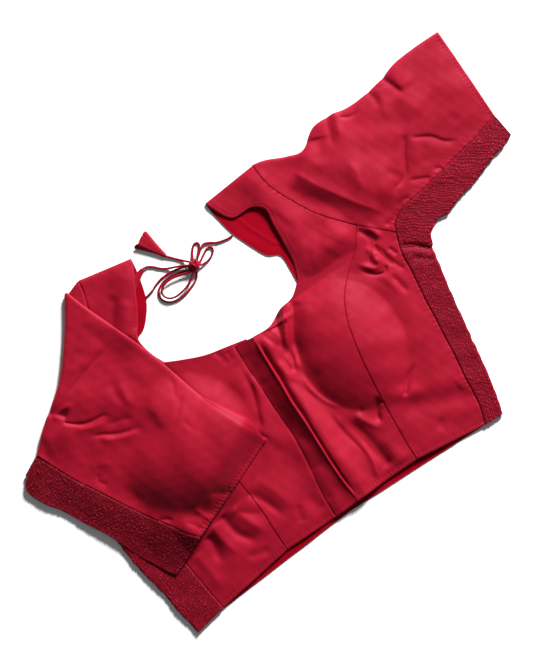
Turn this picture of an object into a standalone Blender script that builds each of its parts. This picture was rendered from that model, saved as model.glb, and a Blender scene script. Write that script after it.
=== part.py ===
# Choli blouse, laid out flat, front up.  One sleeve is spread to the side and the other is
# folded across the front.  Places below are millimetres from the hem at the centre front:
# +Y runs up to the neck, +X to the wearer's left and +Z up from the surface it lies on.
# The finished model is moved so that its origin is the bottom centre of its box.

import math

import bmesh
import bpy
from mathutils import Vector

MM = 0.001
BOX_CENTRE_X = 41.6    # from the centre front to the middle of the laid-out garment
BOX_CENTRE_Y = 179.3

WALL = 1.5             # plain cloth
SHIRRED_WALL = 2.0     # elasticated cloth, gathered and so thicker
SEAM_GAP = 0.2         # each piece stops this short of the seam that it shares
ARMHOLE_GAP = 0.5      # wider where the two pieces are cut on unlike rows
BACK_LEVEL = 0.75      # middle of the cloth that lies on the surface
SHIRRED_BACK_LEVEL = 1.0
FRONT_LEVEL = 3.35     # middle of the upper layer where it lies flat
SHIRRED_RISE = 0.45    # shirred bands stand this much over the panel beside them
UNDER_LAYER_RISE = 3.0    # folded sleeve over the front: its lower layer
UPPER_LAYER_RISE = 5.7    # and its upper layer
SHIRRED_UNDER_RISE = 3.3
SHIRRED_UPPER_RISE = 6.3
CREST_RISE = 5.0       # the front edge stands up in a crest where the placket folds back
CREST_REACH = 15.0
PLACKET_REST_RISE = 2.2   # the placket's free edge lies on the other front

NECK_CORNER = 8        # row where the front edge turns into the neck
BODY_ROWS = 18         # faces along the body from hem to armhole
PLACKET_ROWS = 12      # the same faces, as far as the neck
STRAP_ROWS = 7
SLEEVE_ROWS = 14
CENTRE_COLUMNS = 6
SIDE_COLUMNS = 5
SLEEVE_COLUMNS = 8
BAND_COLUMNS = 3
BACK_COLUMNS = 3
TURN_STEPS = 4         # faces round a folded edge

CORD_DIAMETER = 2.4
CORD_SPACING = 7.0     # distance between points along a cord
LOOP_SPACING = 4.6     # and along the bow's small tight loops
KNOT_CENTRE = (0.6, 313.0, 5.0)
KNOT_SIZE = (8.0, 7.6, 4.8)    # half lengths: across, along, up

# The body's upper layer on the wearer's left, a row for each level from the hem up.
BODY_LEFT = (
    # front edge    princess seam   side seam      side fold
    ((16, -1),      (94, 3),        (178, -5),     (199, -5)),
    ((13, 26),      (94, 26),       (184, 16),     (204, 14)),
    ((12, 52),      (95, 50),       (186, 34),     (207, 32)),
    ((12, 77),      (96, 73),       (187, 52),     (210, 52)),
    ((12, 104),     (98, 102),      (190, 78),     (213, 76)),
    ((11, 130),     (101, 131),     (192, 104),    (217, 102)),
    ((12, 158),     (105, 154),     (194, 126),    (220, 126)),
    ((12, 181),     (110, 174),     (195, 145),    (223, 146)),
    ((13, 212),     (119, 194),     (197, 163),    (226, 164)),
    ((34, 212),     (129, 207),     (199, 180),    (228, 178)),
    ((54, 222),     (143, 221),     (200, 200),    (231, 190)),
    ((72, 226),     (157, 233),     (203, 213),    (234, 198)),
    ((87, 238),     (174, 256),     (207, 226),    (237, 206)),
)
# The strap above it, from the armhole's end of the princess seam up to the shoulder.
STRAP_LEFT = (
    # neck          armhole
    ((87, 238),     (174, 256)),
    ((94, 258),     (158, 273)),
    ((96, 282),     (142, 292)),
    ((97, 304),     (131, 311)),
    ((97, 322),     (122, 328)),
    ((84, 333),     (116, 342)),
    ((61, 336),     (113, 356)),
    ((46, 364),     (112, 372)),
)
BODY_RIGHT = (
    # front edge    princess seam   side seam      side fold
    ((8, -3),       (-79, -6),      (-172, -23),   (-208, -31)),
    ((8, 22),       (-80, 16),      (-176, 2),     (-214, 0)),
    ((8, 48),       (-80, 40),      (-180, 32),    (-219, 30)),
    ((8, 74),       (-82, 66),      (-184, 60),    (-225, 58)),
    ((7, 100),      (-86, 96),      (-188, 86),    (-229, 84)),
    ((7, 128),      (-94, 124),     (-191, 108),   (-231, 108)),
    ((7, 156),      (-102, 150),    (-193, 128),   (-232, 130)),
    ((7, 184),      (-110, 174),    (-195, 146),   (-232, 148)),
    ((6, 214),      (-119, 194),    (-197, 164),   (-233, 165)),
    ((-16, 218),    (-129, 207),    (-199, 181),   (-234, 178)),
    ((-42, 223),    (-143, 221),    (-200, 200),   (-236, 190)),
    ((-66, 232),    (-157, 233),    (-203, 213),   (-237, 198)),
    ((-84, 240),    (-174, 256),    (-207, 226),   (-239, 206)),
)
STRAP_RIGHT = (
    # neck          armhole
    ((-84, 240),    (-174, 256)),
    ((-92, 257),    (-158, 273)),
    ((-95, 277),    (-142, 292)),
    ((-87, 291),    (-133, 308)),
    ((-79, 304),    (-128, 322)),
    ((-70, 322),    (-123, 338)),
    ((-60, 342),    (-119, 353)),
    ((-55, 356),    (-117, 366)),
)
# The back, which lies on the surface: its deep neck and its sides.
BACK_LEFT = (
    # centre, then neck    side seam, then armhole
    ((0, -7),       (178, -5)),
    ((0, 20),       (184, 16)),
    ((0, 48),       (187, 52)),
    ((0, 76),       (190, 78)),
    ((0, 104),      (192, 104)),
    ((0, 130),      (194, 126)),
    ((0, 150),      (197, 163)),
    ((0, 158),      (200, 200)),
    ((30, 164),     (206, 225)),
    ((58, 182),     (190, 241)),
    ((76, 205),     (174, 256)),
    ((85, 230),     (158, 273)),
    ((87, 252),     (150, 282)),
    ((86, 272),     (142, 292)),
    ((73, 281),     (136, 301)),
    ((63, 300),     (131, 311)),
    ((54, 321),     (122, 328)),
    ((49, 342),     (114, 350)),
    ((46, 364),     (112, 372)),
)
BACK_RIGHT = (
    # centre, then neck    side seam, then armhole
    ((0, -7),       (-172, -24)),
    ((0, 20),       (-176, 2)),
    ((0, 48),       (-180, 32)),
    ((0, 76),       (-184, 60)),
    ((0, 104),      (-188, 86)),
    ((0, 130),      (-193, 128)),
    ((0, 150),      (-197, 164)),
    ((0, 158),      (-200, 200)),
    ((-30, 164),    (-206, 225)),
    ((-58, 182),    (-190, 241)),
    ((-78, 205),    (-174, 256)),
    ((-92, 230),    (-158, 273)),
    ((-97, 258),    (-150, 282)),
    ((-95, 277),    (-142, 292)),
    ((-83, 284),    (-136, 301)),
    ((-69, 301),    (-131, 311)),
    ((-62, 317),    (-126, 328)),
    ((-57, 340),    (-120, 350)),
    ((-55, 356),    (-117, 366)),
)
# The spread sleeve, a row for each level from the armhole out to the hem.
SLEEVE_LEFT = (
    # crown fold    band seam       underarm fold
    ((112, 372),    (207, 226),     (237, 206)),
    ((128, 369),    (211, 236),     (245, 212)),
    ((150, 360),    (220, 242),     (255, 216)),
    ((169, 356),    (231, 246),     (265, 215)),
    ((189, 368),    (248, 249),     (277, 220)),
    ((211, 370),    (265, 252),     (289, 224)),
    ((235, 368),    (281, 256),     (302, 227)),
    ((261, 372),    (298, 260),     (317, 232)),
    ((285, 377),    (315, 264),     (331, 238)),
    ((308, 384),    (331, 267),     (344, 243)),
    ((335, 387),    (348, 272),     (357, 246)),
    ((363, 388),    (367, 278),     (371, 252)),
)
ARMHOLE_FADE = 5       # rows over which the armhole's curve fades out along the sleeve
TURN_FADE = 3          # the same for the turn line's curve on the folded sleeve
# The folded sleeve, from the line where it turns back on itself out to the hem.
SLEEVE_RIGHT = (
    # crown fold    band seam       underarm fold
    ((-134, 359),   (-255, 225),    (-277, 214)),
    ((-125, 334),   (-246, 204),    (-286, 201)),
    ((-112, 304),   (-234, 180),    (-279, 181)),
    ((-100, 276),   (-219, 156),    (-264, 160)),
    ((-88, 244),    (-204, 131),    (-250, 135)),
    ((-78, 212),    (-188, 106),    (-235, 110)),
    ((-67, 179),    (-172, 84),     (-223, 82)),
    ((-51, 145),    (-161, 68),     (-209, 56)),
    ((-34, 109),    (-151, 57),     (-196, 35)),
)
TURN_LINE = ((-134, 359), (-163, 314), (-194, 276), (-225, 252), (-255, 225))
TURN_OUTWARD = (-0.74, 0.67)    # across the turn line, away from the body

# Where the upper cloth stands up: the padded bust cups.
CUPS = (
    # centre        half lengths    height
    ((105, 148),    (69, 79),       20.0),
    ((-106, 146),   (69, 79),       15.0),
)
# Its largest folds: rounded ridges, or troughs where the height is negative.
FOLDS = (
    # start         end             half width, height
    ((150, 345),    (206, 262),     13, -1.3),    # beside the armhole seam
    ((176, 335),    (222, 275),     22, 4.0),     # head of the spread sleeve
    ((214, 352),    (196, 290),     12, 3.0),     # ridge down from its crown
    ((250, 312),    (335, 330),     32, 4.0),     # its spread middle
    ((104, 350),    (112, 290),     16, 3.5),     # strap
    ((-72, 338),    (-104, 288),    18, 4.6),     # the other strap, over a tassel
    ((30, 196),     (72, 206),      14, 3.5),     # roll below the neck
    ((44, 178),     (40, 96),       10, -1.2),    # beside the cup
    ((-24, 178),    (-30, 100),     12, 2.5),     # crease down the other front
    ((-190, 262),   (-120, 210),    20, 3.0),     # roll across the folded sleeve
    ((120, 30),     (60, 20),       26, 1.5),     # slack above the hem
    ((-120, 20),    (-60, 30),      26, 1.5),
)

# The tie cord, laid on the surface: points through which each stretch runs.
CORD_LEFT = ((53.2, 318.7, 1.2), (48.0, 318.5, 1.2), (41.2, 319.5, 1.2), (34.0, 321.5, 1.2),
             (28.0, 325.2, 1.2), (21.0, 327.6, 2.4), (15.5, 324.5, 4.6), (9.5, 319.5, 5.6))
CORD_RIGHT = ((-63.6, 311.4, 1.2), (-54.5, 313.6, 1.2), (-47.0, 317.2, 1.2), (-38.6, 319.8, 1.2),
              (-29.0, 320.6, 1.2), (-20.0, 319.8, 1.4), (-12.0, 318.0, 2.4), (-7.9, 316.6, 3.4))
LOOP_NEAR = ((2.6, 320.6, 2.4), (6.2, 327.0, 1.3), (11.0, 332.4, 1.2), (15.2, 333.0, 1.2),
             (16.6, 329.6, 1.3), (12.4, 323.6, 1.8), (7.2, 318.2, 3.0))
LOOP_FAR = ((8.4, 313.6, 3.0), (15.2, 317.9, 1.3), (21.6, 321.4, 1.2), (26.2, 320.6, 1.2),
            (26.4, 316.6, 1.2), (22.0, 312.2, 1.2), (15.5, 309.6, 1.3), (8.2, 309.2, 2.8))
BOW_OUTER = ((-7.6, 311.6, 2.2), (-14.5, 313.8, 1.3), (-23.5, 316.2, 1.2), (-32.0, 316.6, 1.2),
             (-40.0, 315.0, 1.2), (-46.6, 311.4, 1.2), (-50.2, 305.6, 1.2), (-49.6, 298.8, 1.2),
             (-44.4, 293.2, 1.2), (-36.0, 290.6, 1.2), (-27.0, 291.0, 1.2), (-18.0, 293.6, 1.2),
             (-9.4, 297.2, 1.2), (-4.2, 301.2, 1.6), (-2.4, 305.2, 2.6))
BOW_INNER = ((-7.4, 309.4, 4.9), (-14.5, 311.2, 4.2), (-24.0, 313.2, 4.0), (-33.0, 313.6, 4.0),
             (-40.6, 311.8, 4.0), (-45.4, 307.6, 4.0), (-46.0, 301.8, 4.0), (-42.0, 296.6, 4.0),
             (-34.6, 294.6, 4.0), (-26.4, 295.6, 4.0), (-18.6, 297.8, 4.0), (-11.4, 301.6, 4.2),
             (-6.4, 306.0, 4.9))
TAIL_NEAR = ((-3.2, 319.8, 4.2), (-8.3, 324.8, 1.6), (-12.3, 328.9, 1.2), (-16.7, 333.5, 1.2),
             (-20.6, 338.0, 1.8))
TAIL_FAR = ((-6.6, 317.0, 6.3), (-14.1, 320.6, 5.2), (-21.3, 323.6, 3.4), (-27.9, 326.4, 1.6),
            (-33.8, 330.4, 1.2), (-38.8, 335.3, 1.2), (-43.8, 338.8, 1.6), (-49.4, 339.6, 3.0))
# A tassel is a folded cone of cloth: the middle of its narrow end and of its wide mouth.
TASSELS = (
    # name, narrow end (x, y, z), mouth (x, y, z), half widths, half depths
    ("tassel_near", (-21.4, 339.2, 1.8), (-35.0, 369.0, 3.0), (1.6, 10.6), (1.3, 2.6)),
    ("tassel_far", (-50.4, 339.5, 3.2), (-79.0, 327.0, 4.2), (1.6, 9.0), (1.3, 1.8)),
)

CLOTH_COLOUR = (0.44, 0.012, 0.032)
SHADED_CLOTH_COLOUR = (0.40, 0.010, 0.028)
SHIRRED_COLOUR = (0.24, 0.008, 0.016)
CORD_COLOUR = (0.33, 0.010, 0.024)


def clear_scene():
    for thing in list(bpy.data.objects):
        bpy.data.objects.remove(thing, do_unlink=True)


def make_material(name, colour, roughness):
    material = bpy.data.materials.new(name)
    material.use_nodes = True
    shader = material.node_tree.nodes["Principled BSDF"]
    shader.inputs["Base Color"].default_value = (*colour, 1.0)
    shader.inputs["Roughness"].default_value = roughness
    shader.inputs["Metallic"].default_value = 0.0
    return material


def column(table, index):
    return [row[index] for row in table]


def on_curve(points, place, corner=None):
    # place counts the points, so 1.5 is half way from the second to the third;
    # the curve turns sharply at the point numbered corner
    last = len(points) - 1
    start = min(int(place + 1e-6), last - 1)
    t = place - start
    p0 = points[start if start == corner else max(start - 1, 0)]
    p1 = points[start]
    p2 = points[start + 1]
    p3 = points[start + 1 if start + 1 == corner else min(start + 2, last)]
    return tuple(
        0.5 * (2 * b + (c - a) * t + (2 * a - 5 * b + 4 * c - d) * t ** 2
               + (3 * b - a - 3 * c + d) * t ** 3)
        for a, b, c, d in zip(p0, p1, p2, p3))


def spread(first, last, faces):
    return [first + (last - first) * step / faces for step in range(faces + 1)]


def blend(a, b, share):
    return tuple(p + (q - p) * share for p, q in zip(a, b))


def front_height(x, y):
    # middle of the body's upper layer, and of the spread sleeve's
    height = FRONT_LEVEL
    for centre, reach, rise in CUPS:
        ratio = ((x - centre[0]) / reach[0]) ** 2 + ((y - centre[1]) / reach[1]) ** 2
        if ratio < 1:
            height += rise * (1 - ratio) ** 1.6
    for start, end, width, rise in FOLDS:
        along_x = end[0] - start[0]
        along_y = end[1] - start[1]
        share = ((x - start[0]) * along_x + (y - start[1]) * along_y) / (along_x ** 2 + along_y ** 2)
        near_x, near_y = blend(start, end, min(max(share, 0.0), 1.0))
        height += rise * math.exp(-((x - near_x) ** 2 + (y - near_y) ** 2) / width ** 2)
    return height


def left_front_height(x, y):
    crest = CREST_RISE * math.exp(-((x - BODY_LEFT[4][0][0]) / CREST_REACH) ** 2)
    return front_height(x, y) + crest


def back_height(x, y):
    return BACK_LEVEL


def panel(inner, outer, rows, shares, height, end_gap=0.0, corner=None):
    # a ruled sheet between two edges whose points are matched row by row
    grid = []
    for place in spread(0, len(inner) - 1, rows):
        a = on_curve(inner, place, corner)
        b = on_curve(outer, place)
        span = math.dist(a, b)
        line = []
        for share in shares:
            kept = min(max(share, SEAM_GAP / span), 1 - SEAM_GAP / span)
            line.append(blend(a, b, kept))
        grid.append(line)
    if end_gap:
        grid[-1] = [blend(p, q, end_gap / math.dist(p, q)) for p, q in zip(grid[-1], grid[-2])]
    return [[(x, y, height(x, y)) for x, y in line] for line in grid]


def round_fold(columns):
    # samples round a flattened tube: (share of the way from fold to seam, level, outward push)
    upper = [(share, 1.0, 0.0) for share in reversed(spread(0, 1, columns))]
    turns = spread(0, math.pi, TURN_STEPS)[1:-1]
    turned = [(0.0, (1 + math.cos(turn)) / 2, math.sin(turn)) for turn in turns]
    lower = [(share, 0.0, 0.0) for share in spread(0, 1, columns)]
    return upper + turned + lower


def place_round_fold(edge, seam, sample, low, high, shift=(0.0, 0.0)):
    # low and high are functions of the plan place
    share, level, push = sample
    span = math.dist(edge, seam)
    x, y = blend(edge, seam, min(share, 1 - SEAM_GAP / span))
    x += shift[0]
    y += shift[1]
    bottom = low(x, y)
    top = high(x, y)
    radius = (top - bottom) / 2
    out_x = (edge[0] - seam[0]) / span
    out_y = (edge[1] - seam[1]) / span
    return (x + out_x * radius * push, y + out_y * radius * push, bottom + (top - bottom) * level)


def wrapped(edges, seams, rows, samples, low, high, start_shift=None, start_gap=0.0):
    # a flattened tube, open along its seams; start_shift bends its first rows
    grid = []
    for place in spread(0, len(edges) - 1, rows):
        edge = on_curve(edges, place)
        seam = on_curve(seams, place)
        line = []
        for sample in samples:
            shift = start_shift(sample[0], place) if start_shift else (0.0, 0.0)
            line.append(place_round_fold(edge, seam, sample, low, high, shift))
        grid.append(line)
    if start_gap:
        first = []
        for p, q in zip(grid[0], grid[1]):
            first.append(blend(p, q, start_gap / math.dist(p, q)))
        grid[0] = first
    return grid


def armhole_points(strap, body):
    # from the shoulder down to the top of the side band's seam
    points = list(reversed(column(strap, 1)))
    points.append(blend(body[-1][1], body[-1][2], 0.5))
    points.append(body[-1][2])
    return points


def armhole_shift(share, place):
    # how far the armhole stands off a straight line from shoulder to underarm
    points = armhole_points(STRAP_LEFT, BODY_LEFT)
    on_seam = on_curve(points, share * (len(points) - 1))
    straight = blend(points[0], points[-1], share)
    fade = max(0.0, 1 - place / ARMHOLE_FADE) ** 2
    return ((on_seam[0] - straight[0]) * fade, (on_seam[1] - straight[1]) * fade)


def turned_back(table, edge_column, seam_column, armhole, samples, levels, start_curve=None):
    # the folded sleeve: hem to turn line on top, round the turn, and under to the armhole
    edges = column(table, edge_column)
    seams = column(table, seam_column)
    under_rise, upper_rise, low_bottom, high_bottom = levels

    def on_top(place, sample):
        share, level, push = sample
        edge = on_curve(edges, place)
        seam = on_curve(seams, place)
        span = math.dist(edge, seam)
        x, y = blend(edge, seam, min(max(share, 0.0), 1 - SEAM_GAP / span))
        if start_curve:
            curved = on_curve(start_curve, share * (len(start_curve) - 1))
            straight = blend(start_curve[0], start_curve[-1], share)
            fade = max(0.0, 1 - place / TURN_FADE) ** 2
            x += (curved[0] - straight[0]) * fade
            y += (curved[1] - straight[1]) * fade
        radius = (upper_rise - under_rise) / 2
        out_x = (edge[0] - seam[0]) / span * radius * push
        out_y = (edge[1] - seam[1]) / span * radius * push
        height = front_height(x, y) + under_rise + (upper_rise - under_rise) * level
        return (x + out_x, y + out_y, height)

    grid = []
    for place in reversed(spread(0, len(edges) - 1, SLEEVE_ROWS)):
        grid.append([on_top(place, sample) for sample in samples])
    turn_row = grid[-1]
    bottoms = [high_bottom + (low_bottom - high_bottom) * level for share, level, push in samples]
    for turn in spread(0, math.pi, TURN_STEPS)[1:]:
        line = []
        for (x, y, top), bottom in zip(turn_row, bottoms):
            radius = (top - bottom) / 2
            out = radius * math.sin(turn)
            height = bottom + radius * (1 + math.cos(turn))
            line.append((x + TURN_OUTWARD[0] * out, y + TURN_OUTWARD[1] * out, height))
        grid.append(line)
    for part_way in (0.5, 1.0):
        line = []
        for (x, y, top), bottom, sample in zip(turn_row, bottoms, samples):
            goal = on_curve(armhole, sample[0] * (len(armhole) - 1))
            reach = part_way * (1 - ARMHOLE_GAP / math.dist((x, y), goal))
            line.append((*blend((x, y), goal, reach), bottom))
        grid.append(line)
    return grid


def add_sheet(name, grid, wall, material, collection):
    # an open surface through the grid, thickened to a closed wall
    mesh = bpy.data.meshes.new(name)
    shape = bmesh.new()
    lines = []
    for line in grid:
        lines.append([shape.verts.new(to_model(point)) for point in line])
    for lower, upper in zip(lines, lines[1:]):
        for a, b, c, d in zip(lower, lower[1:], upper[1:], upper):
            shape.faces.new((a, b, c, d))
    shape.to_mesh(mesh)
    shape.free()
    mesh.shade_smooth()
    sheet = bpy.data.objects.new(name, mesh)
    sheet.data.materials.append(material)
    thicken = sheet.modifiers.new("Wall", "SOLIDIFY")
    thicken.thickness = wall * MM
    thicken.offset = 0.0
    collection.objects.link(sheet)
    return sheet


def to_model(point):
    x, y, z = point
    return Vector(((x - BOX_CENTRE_X) * MM, (y - BOX_CENTRE_Y) * MM, z * MM))


def add_fronts(cloth, collection):
    columns = spread(0, 1, CENTRE_COLUMNS)
    sides = spread(0, 1, SIDE_COLUMNS)
    fronts = (
        ("front_left", BODY_LEFT, STRAP_LEFT, left_front_height),
        ("front_right", BODY_RIGHT, STRAP_RIGHT, front_height),
    )
    for name, body, strap, height in fronts:
        lower = panel(column(body, 0), column(body, 1), BODY_ROWS, columns, height,
                      corner=NECK_CORNER)
        upper = panel(column(strap, 0), column(strap, 1), STRAP_ROWS, columns, height)
        add_sheet(name + "_centre", lower + upper[1:], WALL, cloth, collection)
        side = panel(column(body, 1), column(body, 2), BODY_ROWS, sides, height, end_gap=SEAM_GAP)
        add_sheet(name + "_side", side, WALL, cloth, collection)


def add_placket(cloth, collection):
    # from the crest of the left front down onto the right front
    crest = column(BODY_LEFT[:NECK_CORNER + 1], 0)
    free = ((-13, -4), (-13, 24), (-10, 50), (-7, 76), (-6, 103), (-8, 130), (-8, 157),
            (-9, 182), (-9, 214))
    flat = panel(crest, free, PLACKET_ROWS, spread(0, 1, 3), front_height)
    grid = []
    for line in flat:
        slope = []
        for share, (x, y, z) in zip(spread(1, 0, 3), line):
            rise = PLACKET_REST_RISE + (CREST_RISE - PLACKET_REST_RISE) * share ** 1.5
            slope.append((x, y, z + rise))
        grid.append(slope)
    add_sheet("placket_strip", grid, WALL, cloth, collection)


def add_back(cloth, collection):
    shares = spread(0, 1, BACK_COLUMNS)
    rows = len(BACK_LEFT) - 1
    left = back_half(BACK_LEFT, rows, shares)
    right = back_half(BACK_RIGHT, rows, shares)
    mesh = bpy.data.meshes.new("back_panel")
    shape = bmesh.new()
    for grid in (left, right):
        lines = []
        for line in grid:
            lines.append([shape.verts.new(to_model((x, y, BACK_LEVEL))) for x, y in line])
        for lower, upper in zip(lines, lines[1:]):
            for a, b, c, d in zip(lower, lower[1:], upper[1:], upper):
                shape.faces.new((a, b, c, d))
    bmesh.ops.remove_doubles(shape, verts=shape.verts[:], dist=0.0001)
    bmesh.ops.recalc_face_normals(shape, faces=shape.faces[:])
    shape.to_mesh(mesh)
    shape.free()
    back = bpy.data.objects.new("back_panel", mesh)
    back.data.materials.append(cloth)
    thicken = back.modifiers.new("Wall", "SOLIDIFY")
    thicken.thickness = WALL * MM
    thicken.offset = 0.0
    collection.objects.link(back)


def back_half(table, rows, shares):
    grid = []
    for place in range(rows + 1):
        a, b = table[place]
        span = math.dist(a, b)
        grid.append([blend(a, b, share * (1 - ARMHOLE_GAP / span)) for share in shares])
    return grid


def shirred_low(x, y):
    return SHIRRED_BACK_LEVEL


def shirred_high(x, y):
    return front_height(x, y) + SHIRRED_RISE


def add_side_bands(shirred, collection):
    samples = round_fold(BAND_COLUMNS)
    for name, body in (("side_band_left", BODY_LEFT), ("side_band_right", BODY_RIGHT)):
        rows = list(reversed(body))
        grid = wrapped(column(rows, 3), column(rows, 2), BODY_ROWS, samples, shirred_low,
                       shirred_high, start_gap=ARMHOLE_GAP)
        add_sheet(name, grid, SHIRRED_WALL, shirred, collection)


def add_spread_sleeve(cloth, shirred, collection):
    grid = wrapped(column(SLEEVE_LEFT, 0), column(SLEEVE_LEFT, 1), SLEEVE_ROWS,
                   round_fold(SLEEVE_COLUMNS), back_height, front_height,
                   start_shift=armhole_shift, start_gap=ARMHOLE_GAP)
    add_sheet("sleeve_left", grid, WALL, cloth, collection)
    grid = wrapped(column(SLEEVE_LEFT, 2), column(SLEEVE_LEFT, 1), SLEEVE_ROWS,
                   round_fold(BAND_COLUMNS), shirred_low, shirred_high, start_gap=SEAM_GAP)
    add_sheet("sleeve_band_left", grid, SHIRRED_WALL, shirred, collection)


def add_folded_sleeve(cloth, shirred, collection):
    armhole = armhole_points(STRAP_RIGHT, BODY_RIGHT)
    levels = (UNDER_LAYER_RISE, UPPER_LAYER_RISE, BACK_LEVEL, FRONT_LEVEL)
    grid = turned_back(SLEEVE_RIGHT, 0, 1, armhole, round_fold(SLEEVE_COLUMNS), levels,
                       TURN_LINE)
    add_sheet("sleeve_right", grid, WALL, cloth, collection)
    band_end = (BODY_RIGHT[-1][3], BODY_RIGHT[-1][2])
    levels = (SHIRRED_UNDER_RISE, SHIRRED_UPPER_RISE, SHIRRED_BACK_LEVEL,
              FRONT_LEVEL + SHIRRED_RISE)
    grid = turned_back(SLEEVE_RIGHT, 2, 1, band_end, round_fold(BAND_COLUMNS), levels)
    add_sheet("sleeve_band_right", grid, SHIRRED_WALL, shirred, collection)


def add_cord(name, route, spacing, material, collection):
    # a curve through the route, with points evenly spaced along it, none below the surface
    fine = [Vector(on_curve(route, place)) for place in spread(0, len(route) - 1, 40 * len(route))]
    lengths = [0.0]
    for a, b in zip(fine, fine[1:]):
        lengths.append(lengths[-1] + (b - a).length)
    count = max(4, round(lengths[-1] / spacing))
    points = []
    for goal in spread(0, lengths[-1], count):
        index = min(range(len(lengths)), key=lambda i: abs(lengths[i] - goal))
        x, y, z = fine[index]
        points.append((x, y, max(z, CORD_DIAMETER / 2)))
    curve = bpy.data.curves.new(name, "CURVE")
    curve.dimensions = "3D"
    curve.bevel_depth = CORD_DIAMETER / 2 * MM
    curve.bevel_resolution = 2
    curve.use_fill_caps = True
    spline = curve.splines.new("POLY")
    spline.points.add(len(points) - 1)
    for spot, point in zip(spline.points, points):
        spot.co = (*to_model(point), 1.0)
    cord = bpy.data.objects.new(name, curve)
    cord.data.materials.append(material)
    collection.objects.link(cord)
    return cord


def add_knot(material, collection):
    shape = bmesh.new()
    bmesh.ops.create_uvsphere(shape, u_segments=14, v_segments=8, radius=1.0)
    for vert in shape.verts:
        x = KNOT_CENTRE[0] + vert.co.x * KNOT_SIZE[0]
        y = KNOT_CENTRE[1] + vert.co.y * KNOT_SIZE[1]
        z = KNOT_CENTRE[2] + vert.co.z * KNOT_SIZE[2]
        vert.co = to_model((x, y, z))
    mesh = bpy.data.meshes.new("bow_knot")
    shape.to_mesh(mesh)
    shape.free()
    mesh.shade_smooth()
    knot = bpy.data.objects.new("bow_knot", mesh)
    knot.data.materials.append(material)
    collection.objects.link(knot)


def add_tassel(name, narrow, mouth, half_widths, half_depths, material, collection):
    # a flattened cone lofted through oval rings from the cord's end to the mouth
    ring_points = 12
    rings = 6
    along = Vector(mouth) - Vector(narrow)
    side = Vector((along.y, -along.x, 0.0)).normalized()
    shape = bmesh.new()
    loops = []
    for share in spread(0, 1, rings):
        centre = Vector(narrow) + along * share
        width = half_widths[0] + (half_widths[1] - half_widths[0]) * share ** 1.2
        depth = half_depths[0] + (half_depths[1] - half_depths[0]) * share
        loop = []
        for step in range(ring_points):
            angle = 2 * math.pi * step / ring_points
            spot = centre + side * (width * math.cos(angle))
            spot.z += depth * math.sin(angle)
            loop.append(shape.verts.new(to_model(spot)))
        loops.append(loop)
    for near, far in zip(loops, loops[1:]):
        for step in range(ring_points):
            after = (step + 1) % ring_points
            shape.faces.new((near[step], near[after], far[after], far[step]))
    shape.faces.new(loops[0])
    shape.faces.new(loops[-1])
    bmesh.ops.recalc_face_normals(shape, faces=shape.faces[:])
    mesh = bpy.data.meshes.new(name)
    shape.to_mesh(mesh)
    shape.free()
    tassel = bpy.data.objects.new(name, mesh)
    tassel.data.materials.append(material)
    collection.objects.link(tassel)


def build():
    clear_scene()
    collection = bpy.data.collections.new("choli_blouse")
    bpy.context.scene.collection.children.link(collection)
    cloth = make_material("satin_weave_cloth", CLOTH_COLOUR, 0.55)
    inside = make_material("cloth_in_shade", SHADED_CLOTH_COLOUR, 0.6)
    shirred = make_material("shirred_cloth", SHIRRED_COLOUR, 0.8)
    cord = make_material("rolled_cloth_cord", CORD_COLOUR, 0.6)
    add_back(inside, collection)
    add_fronts(cloth, collection)
    add_placket(cloth, collection)
    add_side_bands(shirred, collection)
    add_spread_sleeve(cloth, shirred, collection)
    add_folded_sleeve(cloth, shirred, collection)
    stretches = (
        ("dori_left", CORD_LEFT, CORD_SPACING),
        ("dori_right", CORD_RIGHT, CORD_SPACING),
        ("bow_loop_small_near", LOOP_NEAR, LOOP_SPACING),
        ("bow_loop_small_far", LOOP_FAR, LOOP_SPACING),
        ("bow_loop_outer", BOW_OUTER, CORD_SPACING),
        ("bow_loop_inner", BOW_INNER, CORD_SPACING),
        ("dori_tail_near", TAIL_NEAR, CORD_SPACING),
        ("dori_tail_far", TAIL_FAR, CORD_SPACING),
    )
    for name, route, spacing in stretches:
        add_cord(name, route, spacing, cord, collection)
    add_knot(cord, collection)
    for name, narrow, mouth, half_widths, half_depths in TASSELS:
        add_tassel(name, narrow, mouth, half_widths, half_depths, cloth, collection)


build()
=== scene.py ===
import math

import bpy
import numpy as np
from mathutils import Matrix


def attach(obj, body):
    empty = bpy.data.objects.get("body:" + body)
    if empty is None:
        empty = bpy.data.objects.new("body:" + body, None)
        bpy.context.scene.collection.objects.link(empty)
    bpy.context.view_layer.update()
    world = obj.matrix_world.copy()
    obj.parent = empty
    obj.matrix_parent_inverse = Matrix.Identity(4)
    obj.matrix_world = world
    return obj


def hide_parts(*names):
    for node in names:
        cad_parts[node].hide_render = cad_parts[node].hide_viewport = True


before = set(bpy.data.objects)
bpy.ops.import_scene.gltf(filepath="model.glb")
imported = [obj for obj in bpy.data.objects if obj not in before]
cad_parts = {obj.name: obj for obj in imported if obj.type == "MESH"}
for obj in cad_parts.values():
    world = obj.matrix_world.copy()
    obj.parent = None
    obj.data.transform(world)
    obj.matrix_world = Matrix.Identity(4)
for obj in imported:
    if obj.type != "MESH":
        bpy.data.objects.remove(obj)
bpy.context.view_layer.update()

# Choli blouse laid out flat, front up. Places are millimetres from the hem at the centre front:
# x to the wearer's left, y up to the neck, z up from the surface that it lies on. A table's row
# holds its points as x,y pairs.
mm = 0.001

garment = {
    "boxCentre": (41.6, 179.3),     # from the centre front to the middle of the part
    "cloth": 0.8,                   # thickness of the cloth with its thin lining
    "shirredCloth": 1.2,            # gathered and so thicker
    "backLevel": 0.75,              # middle of the layer that lies on the surface
    "shirredBackLevel": 1.0,
    "frontLevel": 3.35,             # middle of the upper layer where it lies flat
    "lowestFront": 2.0,             # no crease brings the front lower than this, onto the back
    "seamGap": 0.2,
    "armholeGap": 0.4,
}

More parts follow.
